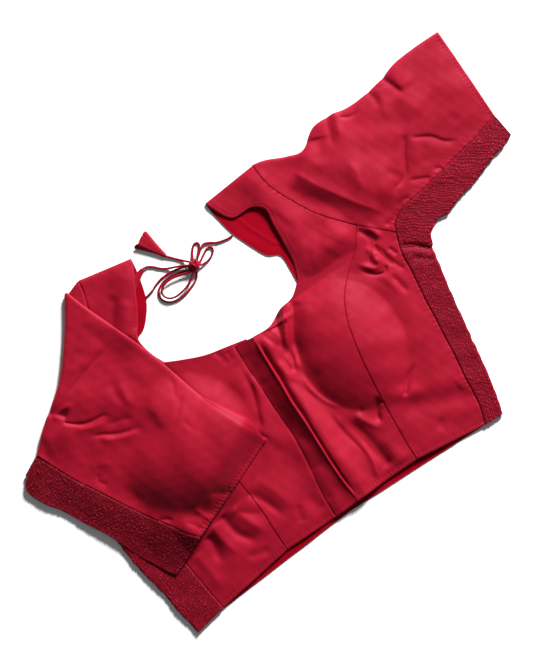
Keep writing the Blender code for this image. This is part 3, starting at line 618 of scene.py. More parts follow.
frontCreases = (
    # two pinches run down from the neck beside the front edge
    ((72,224, 60,205, 50,186, 44,167, 39,148), 12, 3.4, -3, 1.3, 0.1, 0.3),
    ((60,226, 50,205, 41,186, 36,172), 3.6, 5, 5.4, 1.2, 0, 0.35),
    ((33,214, 36,201, 36,190), 2.6, 2.6, 1.8, 1.4, 0.2, 0.4),
    ((45,184, 41,168, 36,152), 2.6, 3, 2.6, 1.3, 0.35, 0.3),
    ((34,180, 33,169, 32,158), 2, 2, 1.8, 1.4, 0.4, 0.4),
    ((50,223, 41,203, 34,186, 31,176), 3, 4.6, -2.4, 1.2, 0, 0.3),
    ((21,214, 27,199, 33,184), 2.2, 2.2, -1.8, 1.3, 0.1, 0.2),
    ((40,186, 36,169, 31,153), 2.2, 2.8, -2, 1.25, 0.3, 0.2),
    ((28,182, 28,168, 30,155), 2, 2, -1.3, 1.4, 0.3, 0.2),
    # the cup's edge near the front edge
    ((37,152, 36,137, 39,121, 45,107, 56,93), 1.8, 2.2, 1.9, 1.4, 0.2, 0.3),
    ((21,153, 28,140, 33,124, 36,110, 39,94, 42,74, 48,48, 51,28), 1.8, 4, -2.6, 1.5, 0.1, 0.3),
    # slack close to the front edge
    ((22,176, 24,160, 25,146), 3, 4, 1.2, 2, 0.3, 0.4),
    # valley below the strap
    ((60,222, 80,227, 108,229, 136,229, 156,234, 168,244), 15, 4, -4.4, 1.1, 0.1, 0.3),
    # the pad's far side stands up in a rim, hollow before it
    ((148,190, 153,160, 150,124), 12, 20, -1.8, 2, 0.4, 0.4),
    ((160,206, 171,190, 174,168, 174,145, 170,122, 160,102, 146,90), 14, 11, 2.2, 1.6, 0.2, 0.3),
    ((150,94, 134,84, 120,68), 2.6, 2.6, -2.4, 1.5, 0.4, 0.1),
    # hollows above the hem
    ((104,62, 128,53, 151,43, 175,36, 186,40), 12, 11, -2.4, 2, 0.3, 0.2),
    ((100,84, 124,70, 150,60), 8, 8, 1.8, 2, 0.4, 0.4),
    ((144,29, 137,22, 131,14), 5, 4, -1.1, 2, 0.4, 0.4),
    ((97,80, 90,76, 84,66, 83,56), 2.4, 5, -3, 1.5, 0.1, 0.3),
    ((74,84, 67,77), 3, 3, -1, 1.7, 0.4, 0.4),
    ((61,83, 69,68, 80,50), 4.5, 4, 2.2, 1.3, 0.2, 0.4),
    ((50,84, 57,62, 62,34, 66,10), 6, 7, -3.4, 1.8, 0.3, 0.1),
    ((76,48, 78,24, 80,6), 9, 7, 1.8, 2, 0.3, 0.2),
    ((52,56, 53,28, 46,7), 3, 3.5, 1.8, 1.6, 0.3, 0.2),
    ((26,60, 30,30, 28,8), 7, 6, 1.1, 2, 0.3, 0.2),
    # crumples at the armpit
    ((172,252, 178,241, 183,228), 2.2, 2.8, -2.8, 1.3, 0.2, 0.1),
    ((180,250, 186,242, 191,228), 4, 3, 1.8, 1.8, 0.3, 0.3),
    ((171,232, 172,218, 171,206), 4, 3, 1.4, 1.8, 0.3, 0.3),
    ((179,228, 181,214, 186,196), 2, 1.8, -1.8, 1.3, 0.2, 0.2),
    ((178,222, 177,210, 179,198), 2, 2, 1.8, 1.3, 0.2, 0.2),
    ((183,236, 174,225, 162,211), 2.2, 2.2, -1.6, 1.3, 0.1, 0.2),
    ((148,216, 157,205, 165,198, 174,196, 178,203, 178,216, 181,230), 2, 2, -2.2, 1.2, 0.3, 0.1),
    ((150,223, 160,211, 168,203), 3, 3, 0.9, 1.5, 0.4, 0.3),
    ((153,218, 165,206, 172,206, 173,217), 3, 3, 1.4, 1.4, 0.3, 0.2),
    ((183,224, 186,205, 195,185), 2, 2.6, -1.8, 1.3, 0.2, 0.2),
    ((178,192, 181,176, 184,160), 3.5, 4, -1.8, 1.8, 0.3, 0.4),
    ((191,218, 196,204), 2.2, 2.2, -1.8, 1.6, 0.3, 0.3),
    ((130,262, 140,246, 146,228), 7, 5, 1, 2, 0.4, 0.4),
    ((112,268, 110,246, 104,236), 5, 7, -0.9, 2, 0.4, 0.4),
    # the other front, beside the edge that the placket covers
    ((-17,190, -18,166, -24,145, -34,117), 3, 7, -2.4, 1.5, 0.2, 0.2),
    ((-11,180, -13,160, -18,140), 3, 4, 1.4, 2, 0.3, 0.4),
    ((-32,222, -28,210, -25,198), 3, 3, -1.3, 1.7, 0.1, 0.3),
    ((-20,214, -19,200), 2.5, 2.5, -1, 1.7, 0.1, 0.3),
    ((-36,114, -31,97, -26,80), 8, 7, -1.8, 2, 0.4, 0.4),
    ((-60,196, -54,172, -52,150), 12, 10, 1, 2, 0.4, 0.4),
    ((-33,36, -27,22, -22,8), 7, 8, -1.5, 2, 0.4, 0.2),
    ((-41,31, -46,20, -49,9), 5, 4, -1.2, 1.8, 0.3, 0.2),
    ((-84,72, -71,50, -60,22), 7, 5, -2.4, 1.7, 0.1, 0.4),
    ((-68,80, -56,54, -48,26), 16, 9, 2.4, 1.4, 0.2, 0.4),
    # the side below the folded sleeve
    ((-120,66, -116,38, -97,16), 7, 5, -3, 1.7, 0.1, 0.4),
    ((-106,66, -97,42, -84,18), 9, 7, 2.4, 1.4, 0.1, 0.4),
    ((-144,54, -145,36, -150,17), 6, 6, -2.8, 1.8, 0.1, 0.4),
    ((-134,62, -132,38, -126,14), 7, 7, 2.6, 1.4, 0.1, 0.4),
    ((-106,60, -92,50, -80,42), 4, 5, -1.1, 1.8, 0.1, 0.3),
    ((-124,12, -106,6, -90,3), 5, 4, -1.2, 2, 0.3, 0.3),
    ((-166,44, -163,16, -160,-8), 9, 8, 2, 1.4, 0.1, 0.3),
    # a hollow beside the crown of the folded sleeve
    ((-103,284, -88,243, -77,206, -66,174, -50,140, -33,110), 1.6, 1.6, -1.3, 1.4, 0, 0),
    # straps
    ((103,322, 108,300, 118,284), 6, 8, -1.2, 2, 0.3, 0.4),
    ((-82,322, -96,300, -112,282), 6, 7, 1.4, 2, 0.2, 0.3),
    ((-92,334, -104,314, -118,298), 5, 6, -1.5, 2, 0.2, 0.3),
    ((-76,306, -86,296, -94,284), 3, 4, -1.4, 1.7, 0.2, 0.3),
    # the spread sleeve: its head stands up beyond a long hollow along the armhole
    ((146,344, 156,324, 166,308, 181,286, 192,271, 210,248), 26, 11, 5, 1.15, 0.1, 0.2),
    ((128,340, 142,314, 158,292, 178,268), 8, 9, -1.4, 2, 0.2, 0.3),
    ((218,372, 212,352, 205,338), 7, 4, 1.5, 1.6, 0, 0.5),
    ((209,373, 203,356, 198,340), 4, 4, -1.2, 1.8, 0, 0.4),
    ((188,362, 182,346, 176,330), 9, 10, -2, 2, 0.1, 0.4),
    ((221,367, 231,361, 243,361), 2, 2, -0.9, 1.6, 0.1, 0.3),
    ((202,322, 204,304, 198,284), 3.5, 7, 0.9, 1.7, 0.3, 0.3),
    ((263,375, 265,362, 262,350), 3, 4, -0.8, 1.8, 0, 0.4),
    ((274,372, 270,352, 262,330), 9, 4, 0.8, 2, 0.1, 0.4),
    ((285,377, 290,365, 295,351), 2.4, 4.5, -1.5, 1.5, 0, 0.2),
    ((297,385, 297,366, 297,352), 20, 7, 1.7, 1.8, 0, 0.3),
    ((284,356, 296,336, 304,320), 20, 12, 1.9, 1.8, 0.2, 0.3),
    ((281,352, 277,332, 268,314), 8, 9, -0.8, 2, 0.2, 0.4),
    ((273,313, 264,300, 257,288, 251,276, 241,270, 232,267, 228,258), 2, 3.2, -1.7, 1.5, 0.1, 0.3),
    ((280,306, 270,292, 262,278), 6, 5, 0.9, 1.8, 0.2, 0.4),
    ((274,306, 288,300, 297,294, 304,285, 311,280, 322,275), 1.8, 5, -1.5, 1.5, 0.2, 0.3),
    ((287,298, 280,284, 276,268), 9, 7, -0.7, 2, 0.4, 0.3),
    ((247,268, 260,263, 273,257), 2, 3.5, -1.2, 1.5, 0.3, 0.2),
    ((278,262, 284,262, 288,257), 1.8, 2.5, -1.1, 1.5, 0.3, 0.1),
    ((200,238, 212,240, 223,244, 230,251, 243,253), 3, 2.2, -1.7, 1.5, 0.1, 0.2),
    ((232,292, 240,280, 246,272), 4, 6, -0.7, 2, 0.4, 0.3),
    ((324,308, 331,290), 6, 7, -0.8, 2, 0.4, 0.4),
    ((230,304, 222,282, 214,262), 7, 8, 0.8, 2, 0.4, 0.3),
    ((336,372, 342,340, 348,306), 16, 16, 0.8, 2, 0.4, 0.4),
)


def besideLine(x, y, points):
    # distance to the side of a smooth line, left positive, and the share of the way along it
    line = onCurve(points, np.linspace(0, len(points) - 1, 6 * (len(points) - 1) + 1))
    steps = np.linalg.norm(np.diff(line, axis=0), axis=1)
    run = runAlong(line)
    nearest = np.full(x.shape, 1e9)
    side = np.ones(x.shape)
    share = np.zeros(x.shape)
    for start, along, length, before in zip(line, np.diff(line, axis=0), steps, run):
        part = np.clip(((x - start[0]) * along[0] + (y - start[1]) * along[1]) / length ** 2, 0, 1)
        offX = x - start[0] - part * along[0]
        offY = y - start[1] - part * along[1]
        distance = np.hypot(offX, offY)
        closer = distance < nearest
        nearest = np.where(closer, distance, nearest)
        side = np.where(closer, np.sign(along[0] * offY - along[1] * offX), side)
        share = np.where(closer, (before + part * length) / run[-1], share)
    return nearest, side, share


def creaseRise(x, y, creases):
    total = np.zeros(x.shape)
    for points, left, right, height, sharp, fadeIn, fadeOut in creases:
        points = np.reshape(points, (-1, 2)).astype(float)
        reach = 3.0 * max(left, right)
        low = points.min(axis=0) - reach
        high = points.max(axis=0) + reach
        near = (x > low[0]) & (x < high[0]) & (y > low[1]) & (y < high[1])
        if not near.any():
            continue
        distance, side, share = besideLine(x[near], y[near], points)
        width = np.where(side >= 0, left, right)
        fade = np.ones(share.shape)
        if fadeIn:
            fade *= smoothStep(share / fadeIn)
        if fadeOut:
            fade *= smoothStep((1 - share) / fadeOut)
        total[near] += height * fade * np.exp(-(distance / width) ** sharp)
    return total


def unevenness(x, y, seed, scale, height):
    # slow random waves, since no cloth lies quite flat
    dice = np.random.default_rng(seed)
    total = np.zeros(x.shape)
    for wave in range(7):
        angle = dice.uniform(0, math.pi)
        turn = 2 * math.pi / (scale * dice.uniform(0.7, 1.7))
        total += np.sin((x * math.cos(angle) + y * math.sin(angle)) * turn + dice.uniform(0, 6.3))
    return total * height / 2.6


def formHeight(x, y):
    # middle of the body's upper layer: the padded cups and the large folds
    height = np.full(x.shape, garment["frontLevel"])
    for centre, reach, rise, fullness, softness in cups:
        ratio = np.hypot((x - centre[0]) / reach[0], (y - centre[1]) / reach[1])
        height += rise * np.clip(1 - ratio ** fullness, 0, 1) ** softness
    return height + creaseRise(x, y, largeFolds)


def easeAbove(height, low):
    # eases off above the low level, however deep the crease
    return low + np.logaddexp(0, (height - low) * 2.5) / 2.5


def frontHeight(x, y):
    height = formHeight(x, y) + creaseRise(x, y, frontCreases)
    height += unevenness(x, y, 5, 42, 0.35) + unevenness(x, y, 6, 15, 0.10)
    return easeAbove(height, garment["lowestFront"])


def dip(distance, depth=0.8, width=0.8):
    # cloth turned in at a seam or rounded off at an edge
    return -depth * bell(distance, width)


def turnedEdge(distance):
    # a finished edge: thicker over its turning, and rounded off at the fold
    return 0.15 * smoothStep((9 - distance) / 3) + dip(distance, 1.1, 0.7)


def closerAtEnds(first, last, count, ends):
    even = np.linspace(first, last, count)
    extra = [first + end for end in ends] + [last - end for end in ends]
    return np.unique(np.concatenate((even, extra)))


def rowPlaces(first, last, perRow):
    return closerAtEnds(first, last, int((last - first) * perRow) + 1, (0.02, 0.05, 0.09))


def crossShares(width, step, ends=(0.35, 0.8, 1.4, 2.2)):
    # shares across a piece that is about this wide, a step apart and closer at both sides
    return closerAtEnds(0, 1, int(width / step) + 1, [end / width for end in ends])


def lift(plan, z):
    return np.concatenate((plan, z[..., None]), axis=-1)


def ruledPlan(inner, outer, places, shares, corner=None):
    # rows straight across from one edge to the other; also how far each point is from both
    starts = onCurve(inner, places, corner)[:, None, :]
    ends = onCurve(outer, places)[:, None, :]
    span = np.linalg.norm(ends - starts, axis=2)
    gap = garment["seamGap"] / span
    kept = np.clip(shares[None, :], gap, 1 - gap)
    return starts + (ends - starts) * kept[..., None], shares * span, (1 - shares) * span


def clothUvOf(plan, grain=0):
    # the cloth's own lengthways and crossways millimetres
    angle = math.radians(grain)
    u = plan[..., 0] * math.cos(angle) + plan[..., 1] * math.sin(angle)
    v = plan[..., 1] * math.cos(angle) - plan[..., 0] * math.sin(angle)
    return np.stack((u, v), axis=-1)


def makeSheet(name, points, uv, marks, material=satin, wall=garment["cloth"]):
    # a grid of points made into cloth; marks are named values on its points for the material
    rows, columns = points.shape[:2]
    index = np.arange(rows * columns).reshape(rows, columns)
    faces = np.stack((index[:-1, :-1], index[:-1, 1:], index[1:, 1:], index[1:, :-1]), axis=-1)
    places = toModel(points.reshape(-1, 3))
    first = places[faces[rows // 2, 1]]
    if np.cross(first[1] - first[0], first[2] - first[1])[2] < 0:
        faces = faces[..., ::-1]
    faces = faces.reshape(-1, 4)
    mesh = bpy.data.meshes.new(name)
    mesh.from_pydata(places.tolist(), [], faces.tolist())
    layer = mesh.uv_layers.new(name="clothUv")
    layer.data.foreach_set("uv", uv.reshape(-1, 2)[faces.reshape(-1)].reshape(-1))
    for label, values in marks.items():
        mark = mesh.attributes.new(label, "FLOAT", "POINT")
        mark.data.foreach_set("value", values.reshape(-1).astype(np.float32))
    sheet = bpy.data.objects.new(name, mesh)
    bpy.context.scene.collection.objects.link(sheet)
    mesh.materials.append(material)
    applyModifier(sheet, "SOLIDIFY", {"thickness": wall * mm, "offset": 0})
    bpy.ops.object.shade_smooth_by_angle(angle=math.radians(60))
    return sheet


def sewIn(piece, node):
    giveTo(piece, node)
    return piece


def edgeWearAndSheenOf(*distances, shown=1):
    # the dye is worn off along turned edges, and a painted sheen lightens them as well
    return {"edgeWearAndSheen": 0.3 * bell(np.minimum.reduce(distances), 1.0) * shown}


print("front panels")

frontStyle = {
    "step": 1.6,              # mm between points
    "perRow": 16,             # rows of points to a row of the table
    "strapPerRow": 12,
    "centreWidth": 88,        # mm across, more or less
    "sideWidth": 90,
    "crest": 11.2,            # height of the front edge where the placket folds back
    "crestWidth": 9.0,        # mm that stay at that height, and
    "crestReach": 15.0,       # mm more over which they come down
    "gutter": 3.4,            # depth of the narrow gap just inside the edge
    "gutterAt": 2.1,
    "roll": 1.1,              # mm, radius of the edge over the placket
    "shoulderDrop": 1.75,     # level of the shoulder fold
    "shoulderRun": 5.5,
    "lapDip": 0.9,            # where one panel's edge goes under the other's at the seam
    "pucker": 0.14,
    "puckerSpacing": 7.5,
    "hemStitchSpacing": 4.4,
    "hemStitchPull": 0.55,
    "hemDepth": 4.6,
}
placketStyle = {
    "step": 1.2,
    "perRow": 20,
    "width": 22,
    "underEdge": 0.95,        # its top stays this far under the front edge
    "rest": 0.1,              # its free edge over the other front
    "hooks": (22, 58, 94, 130, 166, 200),    # mm up from the hem
    "hookPull": 0.5,
}
placketEdge = ((-13, -4), (-13, 24), (-10, 50), (-7, 76), (-6, 103), (-8, 130), (-8, 157),
               (-9, 182), (-9, 214))


def crestHeight(y):
    # the front edge stands highest half way down
    full = 0.72 + 0.28 * np.sin(np.clip((215 - y) / 170, 0, 1) * math.pi * 0.7)
    return frontStyle["crest"] * full * (0.6 + 0.4 * smoothStep(y / 55))


def crestProfile(y, fromInner):
    down = np.clip((fromInner - frontStyle["crestWidth"]) / frontStyle["crestReach"], 0, None)
    rise = crestHeight(y) * np.exp(-down ** 1.6)
    wide = 1.9 + 1.6 * smoothStep((y - 92) / 22)      # the gap is wider higher up
    fromGutter = fromInner - frontStyle["gutterAt"]
    gap = frontStyle["gutter"] * bell(fromGutter, np.where(fromGutter < 0, 0.8, wide))
    gap = gap * smoothStep((206 - y) / 20) * smoothStep(y / 40)
    return (rise - gap) * (1 - smoothStep((y - 203) / 13))


def stitchPull(run, spacing):
    return np.cos(run * 2 * math.pi / spacing) * 0.5 + 0.5


def hemPucker(run, fromHem, seed):
    # each hem stitch pulls a small dimple
    dice = np.random.default_rng(seed)
    wobble = np.interp(run, np.linspace(0, 260, 40), dice.uniform(-0.9, 0.9, 40))
    pull = stitchPull(run + wobble, frontStyle["hemStitchSpacing"])
    return -frontStyle["hemStitchPull"] * pull ** 2 * bell(fromHem - frontStyle["hemDepth"], 2.0)


def seamPucker(run, distance, seed):
    dice = np.random.default_rng(seed)
    wobble = np.interp(run, np.linspace(0, 420, 90), dice.uniform(-4, 4, 90))
    wave = np.sin((run + wobble) * 2 * math.pi / frontStyle["puckerSpacing"])
    return frontStyle["pucker"] * wave * np.exp(-distance / 4)


def shoulderFold(z, fromShoulder):
    # the strap bends down to the back over a rounded fold
    part = np.clip(fromShoulder / frontStyle["shoulderRun"], 0, 1)
    rounded = np.sqrt(1 - (1 - part) ** 2)
    return frontStyle["shoulderDrop"] + (z - frontStyle["shoulderDrop"]) * rounded


def rollEdge(plan, z, roll):
    # three points more on each row, so that the placket tucks under the front edge
    spots, heights = [plan], [z]
    for turn in (25, 50, 75):
        bend = math.radians(turn)
        away = roll * frontStyle["roll"]
        inward = np.concatenate((away * math.sin(bend), roll * 0), axis=1)[:, None, :]
        spots.insert(0, plan[:, :1] - inward)
        heights.insert(0, z[:, :1] - away * (1 - math.cos(bend)))
    return np.concatenate(spots, axis=1), np.concatenate(heights, axis=1)


def makeCentreFront(name, node, body, strap, seed, isLeft):
    shares = crossShares(frontStyle["centreWidth"], frontStyle["step"])
    lowerPlaces = rowPlaces(0, len(body) - 1, frontStyle["perRow"])
    upperPlaces = rowPlaces(0, len(strap) - 1, frontStyle["strapPerRow"])
    lower = ruledPlan(column(body, 0), column(body, 1), lowerPlaces, shares, neckCorner)
    upper = ruledPlan(column(strap, 0), column(strap, 1), upperPlaces, shares)
    plan, fromInner, fromOuter = [np.concatenate((low, high[1:])) for low, high in zip(lower, upper)]
    x, y = plan[..., 0], plan[..., 1]
    run = runAlong(plan)
    z = frontHeight(x, y)
    if isLeft:
        z = z + crestProfile(y, fromInner)
    else:
        # the placket beds down into this front
        edgeX, edgeY = np.transpose(placketEdge)
        bed = np.interp(y, edgeY, edgeX) - 3.2
        z = z - 0.9 * smoothStep((x - bed) / 3.4) * smoothStep((y + 6) / 8)
    places = np.concatenate((lowerPlaces, upperPlaces[1:] + len(body) - 1))[:, None]
    isNeck = smoothStep((places - neckCorner) / 0.3)
    z = z + seamPucker(run, fromOuter, seed)
    z = z + dip(fromOuter, 0 if isLeft else frontStyle["lapDip"], 1.0)
    z = z + isNeck * turnedEdge(fromInner)
    z = z - isNeck * 0.3 * stitchPull(run, 5.0) * bell(fromInner - 4, 1.3)
    z = z + hemPucker(fromInner, run, seed) + dip(run)
    z = shoulderFold(z, run[-1] - run)
    fromEdge = fromInner + 9 * (1 - isNeck)
    if isLeft:
        plan, z = rollEdge(plan, z, 1 - smoothStep((places - (neckCorner - 0.25)) / 0.2))
        fromEdge = np.concatenate((np.repeat(9 * (1 - isNeck), 3, axis=1), fromEdge), axis=1)
        fromOuter = np.concatenate((np.full((len(z), 3), 99.0), fromOuter), axis=1)
    piece = makeSheet(name, lift(plan, z), clothUvOf(plan), edgeWearAndSheenOf(fromEdge, fromOuter))
    return sewIn(piece, node)


def makeSideFront(name, node, body, seed, isLeft):
    shares = crossShares(frontStyle["sideWidth"], frontStyle["step"])
    places = rowPlaces(0, len(body) - 1, frontStyle["perRow"])
    plan, fromInner, fromOuter = ruledPlan(column(body, 1), column(body, 2), places, shares)
    run = runAlong(plan)
    fromEnd = run[-1] - run
    z = frontHeight(plan[..., 0], plan[..., 1])
    z = z + seamPucker(run, fromInner, seed)
    z = z + dip(fromInner, frontStyle["lapDip"] if isLeft else 0, 1.0)
    z = z + seamPucker(fromInner, fromEnd, seed + 1) + dip(fromOuter)
    z = z + seamPucker(run, fromOuter, seed + 2) * 1.6
    z = z + hemPucker(fromInner, run, seed) + dip(run)
    wearAndSheen = edgeWearAndSheenOf(fromInner, fromOuter, fromEnd)
    piece = makeSheet(name, lift(plan, z), clothUvOf(plan), wearAndSheen)
    return sewIn(piece, node)


def makePlacket():
    # from under the front edge down onto the other front
    shares = crossShares(placketStyle["width"], placketStyle["step"], (0.35, 0.8))
    places = rowPlaces(0, neckCorner, placketStyle["perRow"])
    crest = column(bodyLeft[:neckCorner + 1], 0)
    plan, fromCrest, fromFree = ruledPlan(crest, placketEdge, places, shares)
    x, y = plan[..., 0], plan[..., 1]
    run = runAlong(plan)
    rest = placketStyle["rest"]
    climb = (crestHeight(y) - placketStyle["underEdge"] - rest) * (1 - shares[None, :]) ** 1.15
    z = frontHeight(x, y) + rest + climb
    z = z + unevenness(x, y, 31, 26, 0.15) + dip(fromFree, 0.15, 0.6)
    z = z + hemPucker(fromCrest, run, 33) + dip(run)
    for hook in placketStyle["hooks"]:
        # pull lines where the hooks hold it from beneath
        z = z - placketStyle["hookPull"] * bell(run - hook, 3.5) * bell(fromFree - 5, 6)
    piece = makeSheet("placketStrip", lift(plan, z), clothUvOf(plan), edgeWearAndSheenOf(fromFree))
    return sewIn(piece, "placket_strip")


frontRightCentre = makeCentreFront("frontRightCentre", "front_right_centre", bodyRight, strapRight,
                                   11, False)
frontLeftCentre = makeCentreFront("frontLeftCentre", "front_left_centre", bodyLeft, strapLeft,
                                  12, True)
frontRightSide = makeSideFront("frontRightSide", "front_right_side", bodyRight, 13, False)
frontLeftSide = makeSideFront("frontLeftSide", "front_left_side", bodyLeft, 16, True)
makePlacket()

print("back")

backStyle = {
    "perRow": 9,
    "step": 4.5,
    "width": 185,
    "edgeRise": 0.2,          # the neck's turned edge
    "facingAt": 17,           # mm from the neck, where the facing ends in a low ridge
    "facingRise": 0.35,
}


def makeBackPanel():
    shares = crossShares(backStyle["width"], backStyle["step"], (0.5, 1.4, 3.0))
    pieces = []
    for side, table in (("Left", backLeft), ("Right", backRight)):
        places = rowPlaces(0, len(table) - 1, backStyle["perRow"])
        starts = onCurve(column(table, 0), places, backCorner)[:, None, :]
        ends = onCurve(column(table, 1), places)[:, None, :]
        span = np.linalg.norm(ends - starts, axis=2)
        kept = shares[None, :] * (1 - garment["armholeGap"] / span)
        plan = starts + (ends - starts) * kept[..., None]
        isNeck = smoothStep((places[:, None] - backCorner) / 0.6)
        fromNeck = shares[None, :] * span
        ripple = unevenness(plan[..., 0], plan[..., 1], 41, 30, 0.25)
        edge = bell(fromNeck - 5, 5) * isNeck
        facing = bell(fromNeck - backStyle["facingAt"], 1.6) * isNeck
        z = (garment["backLevel"] + np.clip(ripple, 0, 1) + backStyle["edgeRise"] * edge
             + backStyle["facingRise"] * facing)
        pieces.append(makeSheet("back" + side, lift(plan, z), clothUvOf(plan),
                                edgeWearAndSheenOf(fromNeck + 99 * (1 - isNeck)), satinInside))
    piece = joinInto("backPanel", pieces)
    applyModifier(piece, "WELD", {"merge_threshold": 0.00005})
    return sewIn(piece, "back_panel")


makeBackPanel()

print("spread sleeve")

sleeveStyle = {
    "perRow": 14,
    "step": 1.6,
    "under": 4.5,             # mm between points on the hidden layer
    "width": 150,
    "turns": 7,               # points round a fold
    "armholeFade": 5,         # rows over which the armhole's curve fades out
    "grain": 14,              # degrees, the way of the threads
    "foldDrop": 1.2,          # the upper layer comes down by this much
    "foldRun": 7,             # over this many mm beside the fold
}


def foldSamples(width, step, under, turns, ends=None):
    # round a flattened tube: share of the way from fold to seam, level, outward push
    upper = crossShares(width, step, ends) if ends else np.linspace(0, 1, int(width / step))
    lower = np.linspace(0, 1, int(width / under))
    angle = np.linspace(0, math.pi, turns + 1)[1:-1]
    share = np.concatenate((upper[::-1], angle * 0, lower))
    level = np.concatenate((upper * 0 + 1, (1 + np.cos(angle)) / 2, lower * 0))
    push = np.concatenate((upper * 0, np.sin(angle), lower * 0))
    return share, level, push


def armholePoints(strap, body):
    # from the shoulder down to the top of the side band's seam
    corner, seam = np.array(column(body, 1)[-1]), np.array(column(body, 2)[-1])
    return np.array([*reversed(column(strap, 1)), (corner + seam) / 2, seam])


def curveShift(curve, share, places, fadeRows):
    # how far the curved start of a sleeve stands off a straight one, less from row to row
    curve = np.array(curve, float)
    curved = onCurve(curve, share * (len(curve) - 1))
    straight = curve[0] + (curve[-1] - curve[0]) * share[:, None]
    fade = np.clip(1 - places / fadeRows, 0, 1) ** 2
    return (curved - straight)[None] * fade[:, None, None]


def tubePlan(edges, seams, places, share, shift=0.0):
    # from the fold to the seam; also the way outwards, and the distances along the rows, from
    # the seam and from the fold
    edge = onCurve(edges, places)[:, None, :]
    seam = onCurve(seams, places)[:, None, :]
    span = np.linalg.norm(edge - seam, axis=2)
    kept = np.clip(share[None, :], 0, 1 - garment["seamGap"] / span)
    plan = edge + (seam - edge) * kept[..., None] + shift
    return plan, (edge - seam) / span[..., None], runAlong(plan), (1 - kept) * span, kept * span


def roundTube(plan, outward, level, push, bottom, top):
    radius = (top - bottom) / 2
    spots = plan + outward * (radius * push[None, :])[..., None]
    return lift(spots, bottom + (top - bottom) * level[None, :])


def wayDown(fromFold, drop, run):
    # a soft roll down towards a folded edge
    return -drop * (1 - np.sqrt(1 - (1 - np.clip(fromFold / run, 0, 1)) ** 2))


def makeSpreadSleeve():
    share, level, push = foldSamples(sleeveStyle["width"], sleeveStyle["step"],
                                     sleeveStyle["under"], sleeveStyle["turns"], (0.6, 1.4, 2.4))
    places = rowPlaces(0.02, len(sleeveLeft) - 1, sleeveStyle["perRow"])
    shift = curveShift(armholePoints(strapLeft, bodyLeft), share, places, sleeveStyle["armholeFade"])
    plan, outward, run, fromSeam, fromFold = tubePlan(
        column(sleeveLeft, 0), column(sleeveLeft, 1), places, share, shift)
    x, y = plan[..., 0], plan[..., 1]
    fromHem = run[-1] - run
    top = frontHeight(x, y)
    top = top + dip(run) + seamPucker(fromFold, run, 21) * 1.5
    top = top + dip(fromSeam) + 0.4 * bell(fromSeam, 5)
    top = top + seamPucker(run, fromSeam, 22) * 1.8
    top = top + hemPucker(fromFold, fromHem, 23) * 0.8 + dip(fromHem, 0.7, 0.7)
    top = top + wayDown(fromFold, sleeveStyle["foldDrop"], sleeveStyle["foldRun"])
    bottom = garment["backLevel"] + np.clip(unevenness(x, y, 24, 40, 0.2), 0, 0.5)
    points = roundTube(plan, outward, level, push, bottom, np.maximum(top, bottom + 1.0))
    wearAndSheen = edgeWearAndSheenOf(run, fromSeam, fromHem, fromFold, shown=level[None, :] > 0.5)
    piece = makeSheet("sleeveLeft", points, clothUvOf(plan, sleeveStyle["grain"]), wearAndSheen)
    return sewIn(piece, "sleeve_left")


sleeveLeftPiece = makeSpreadSleeve()

print("folded sleeve")

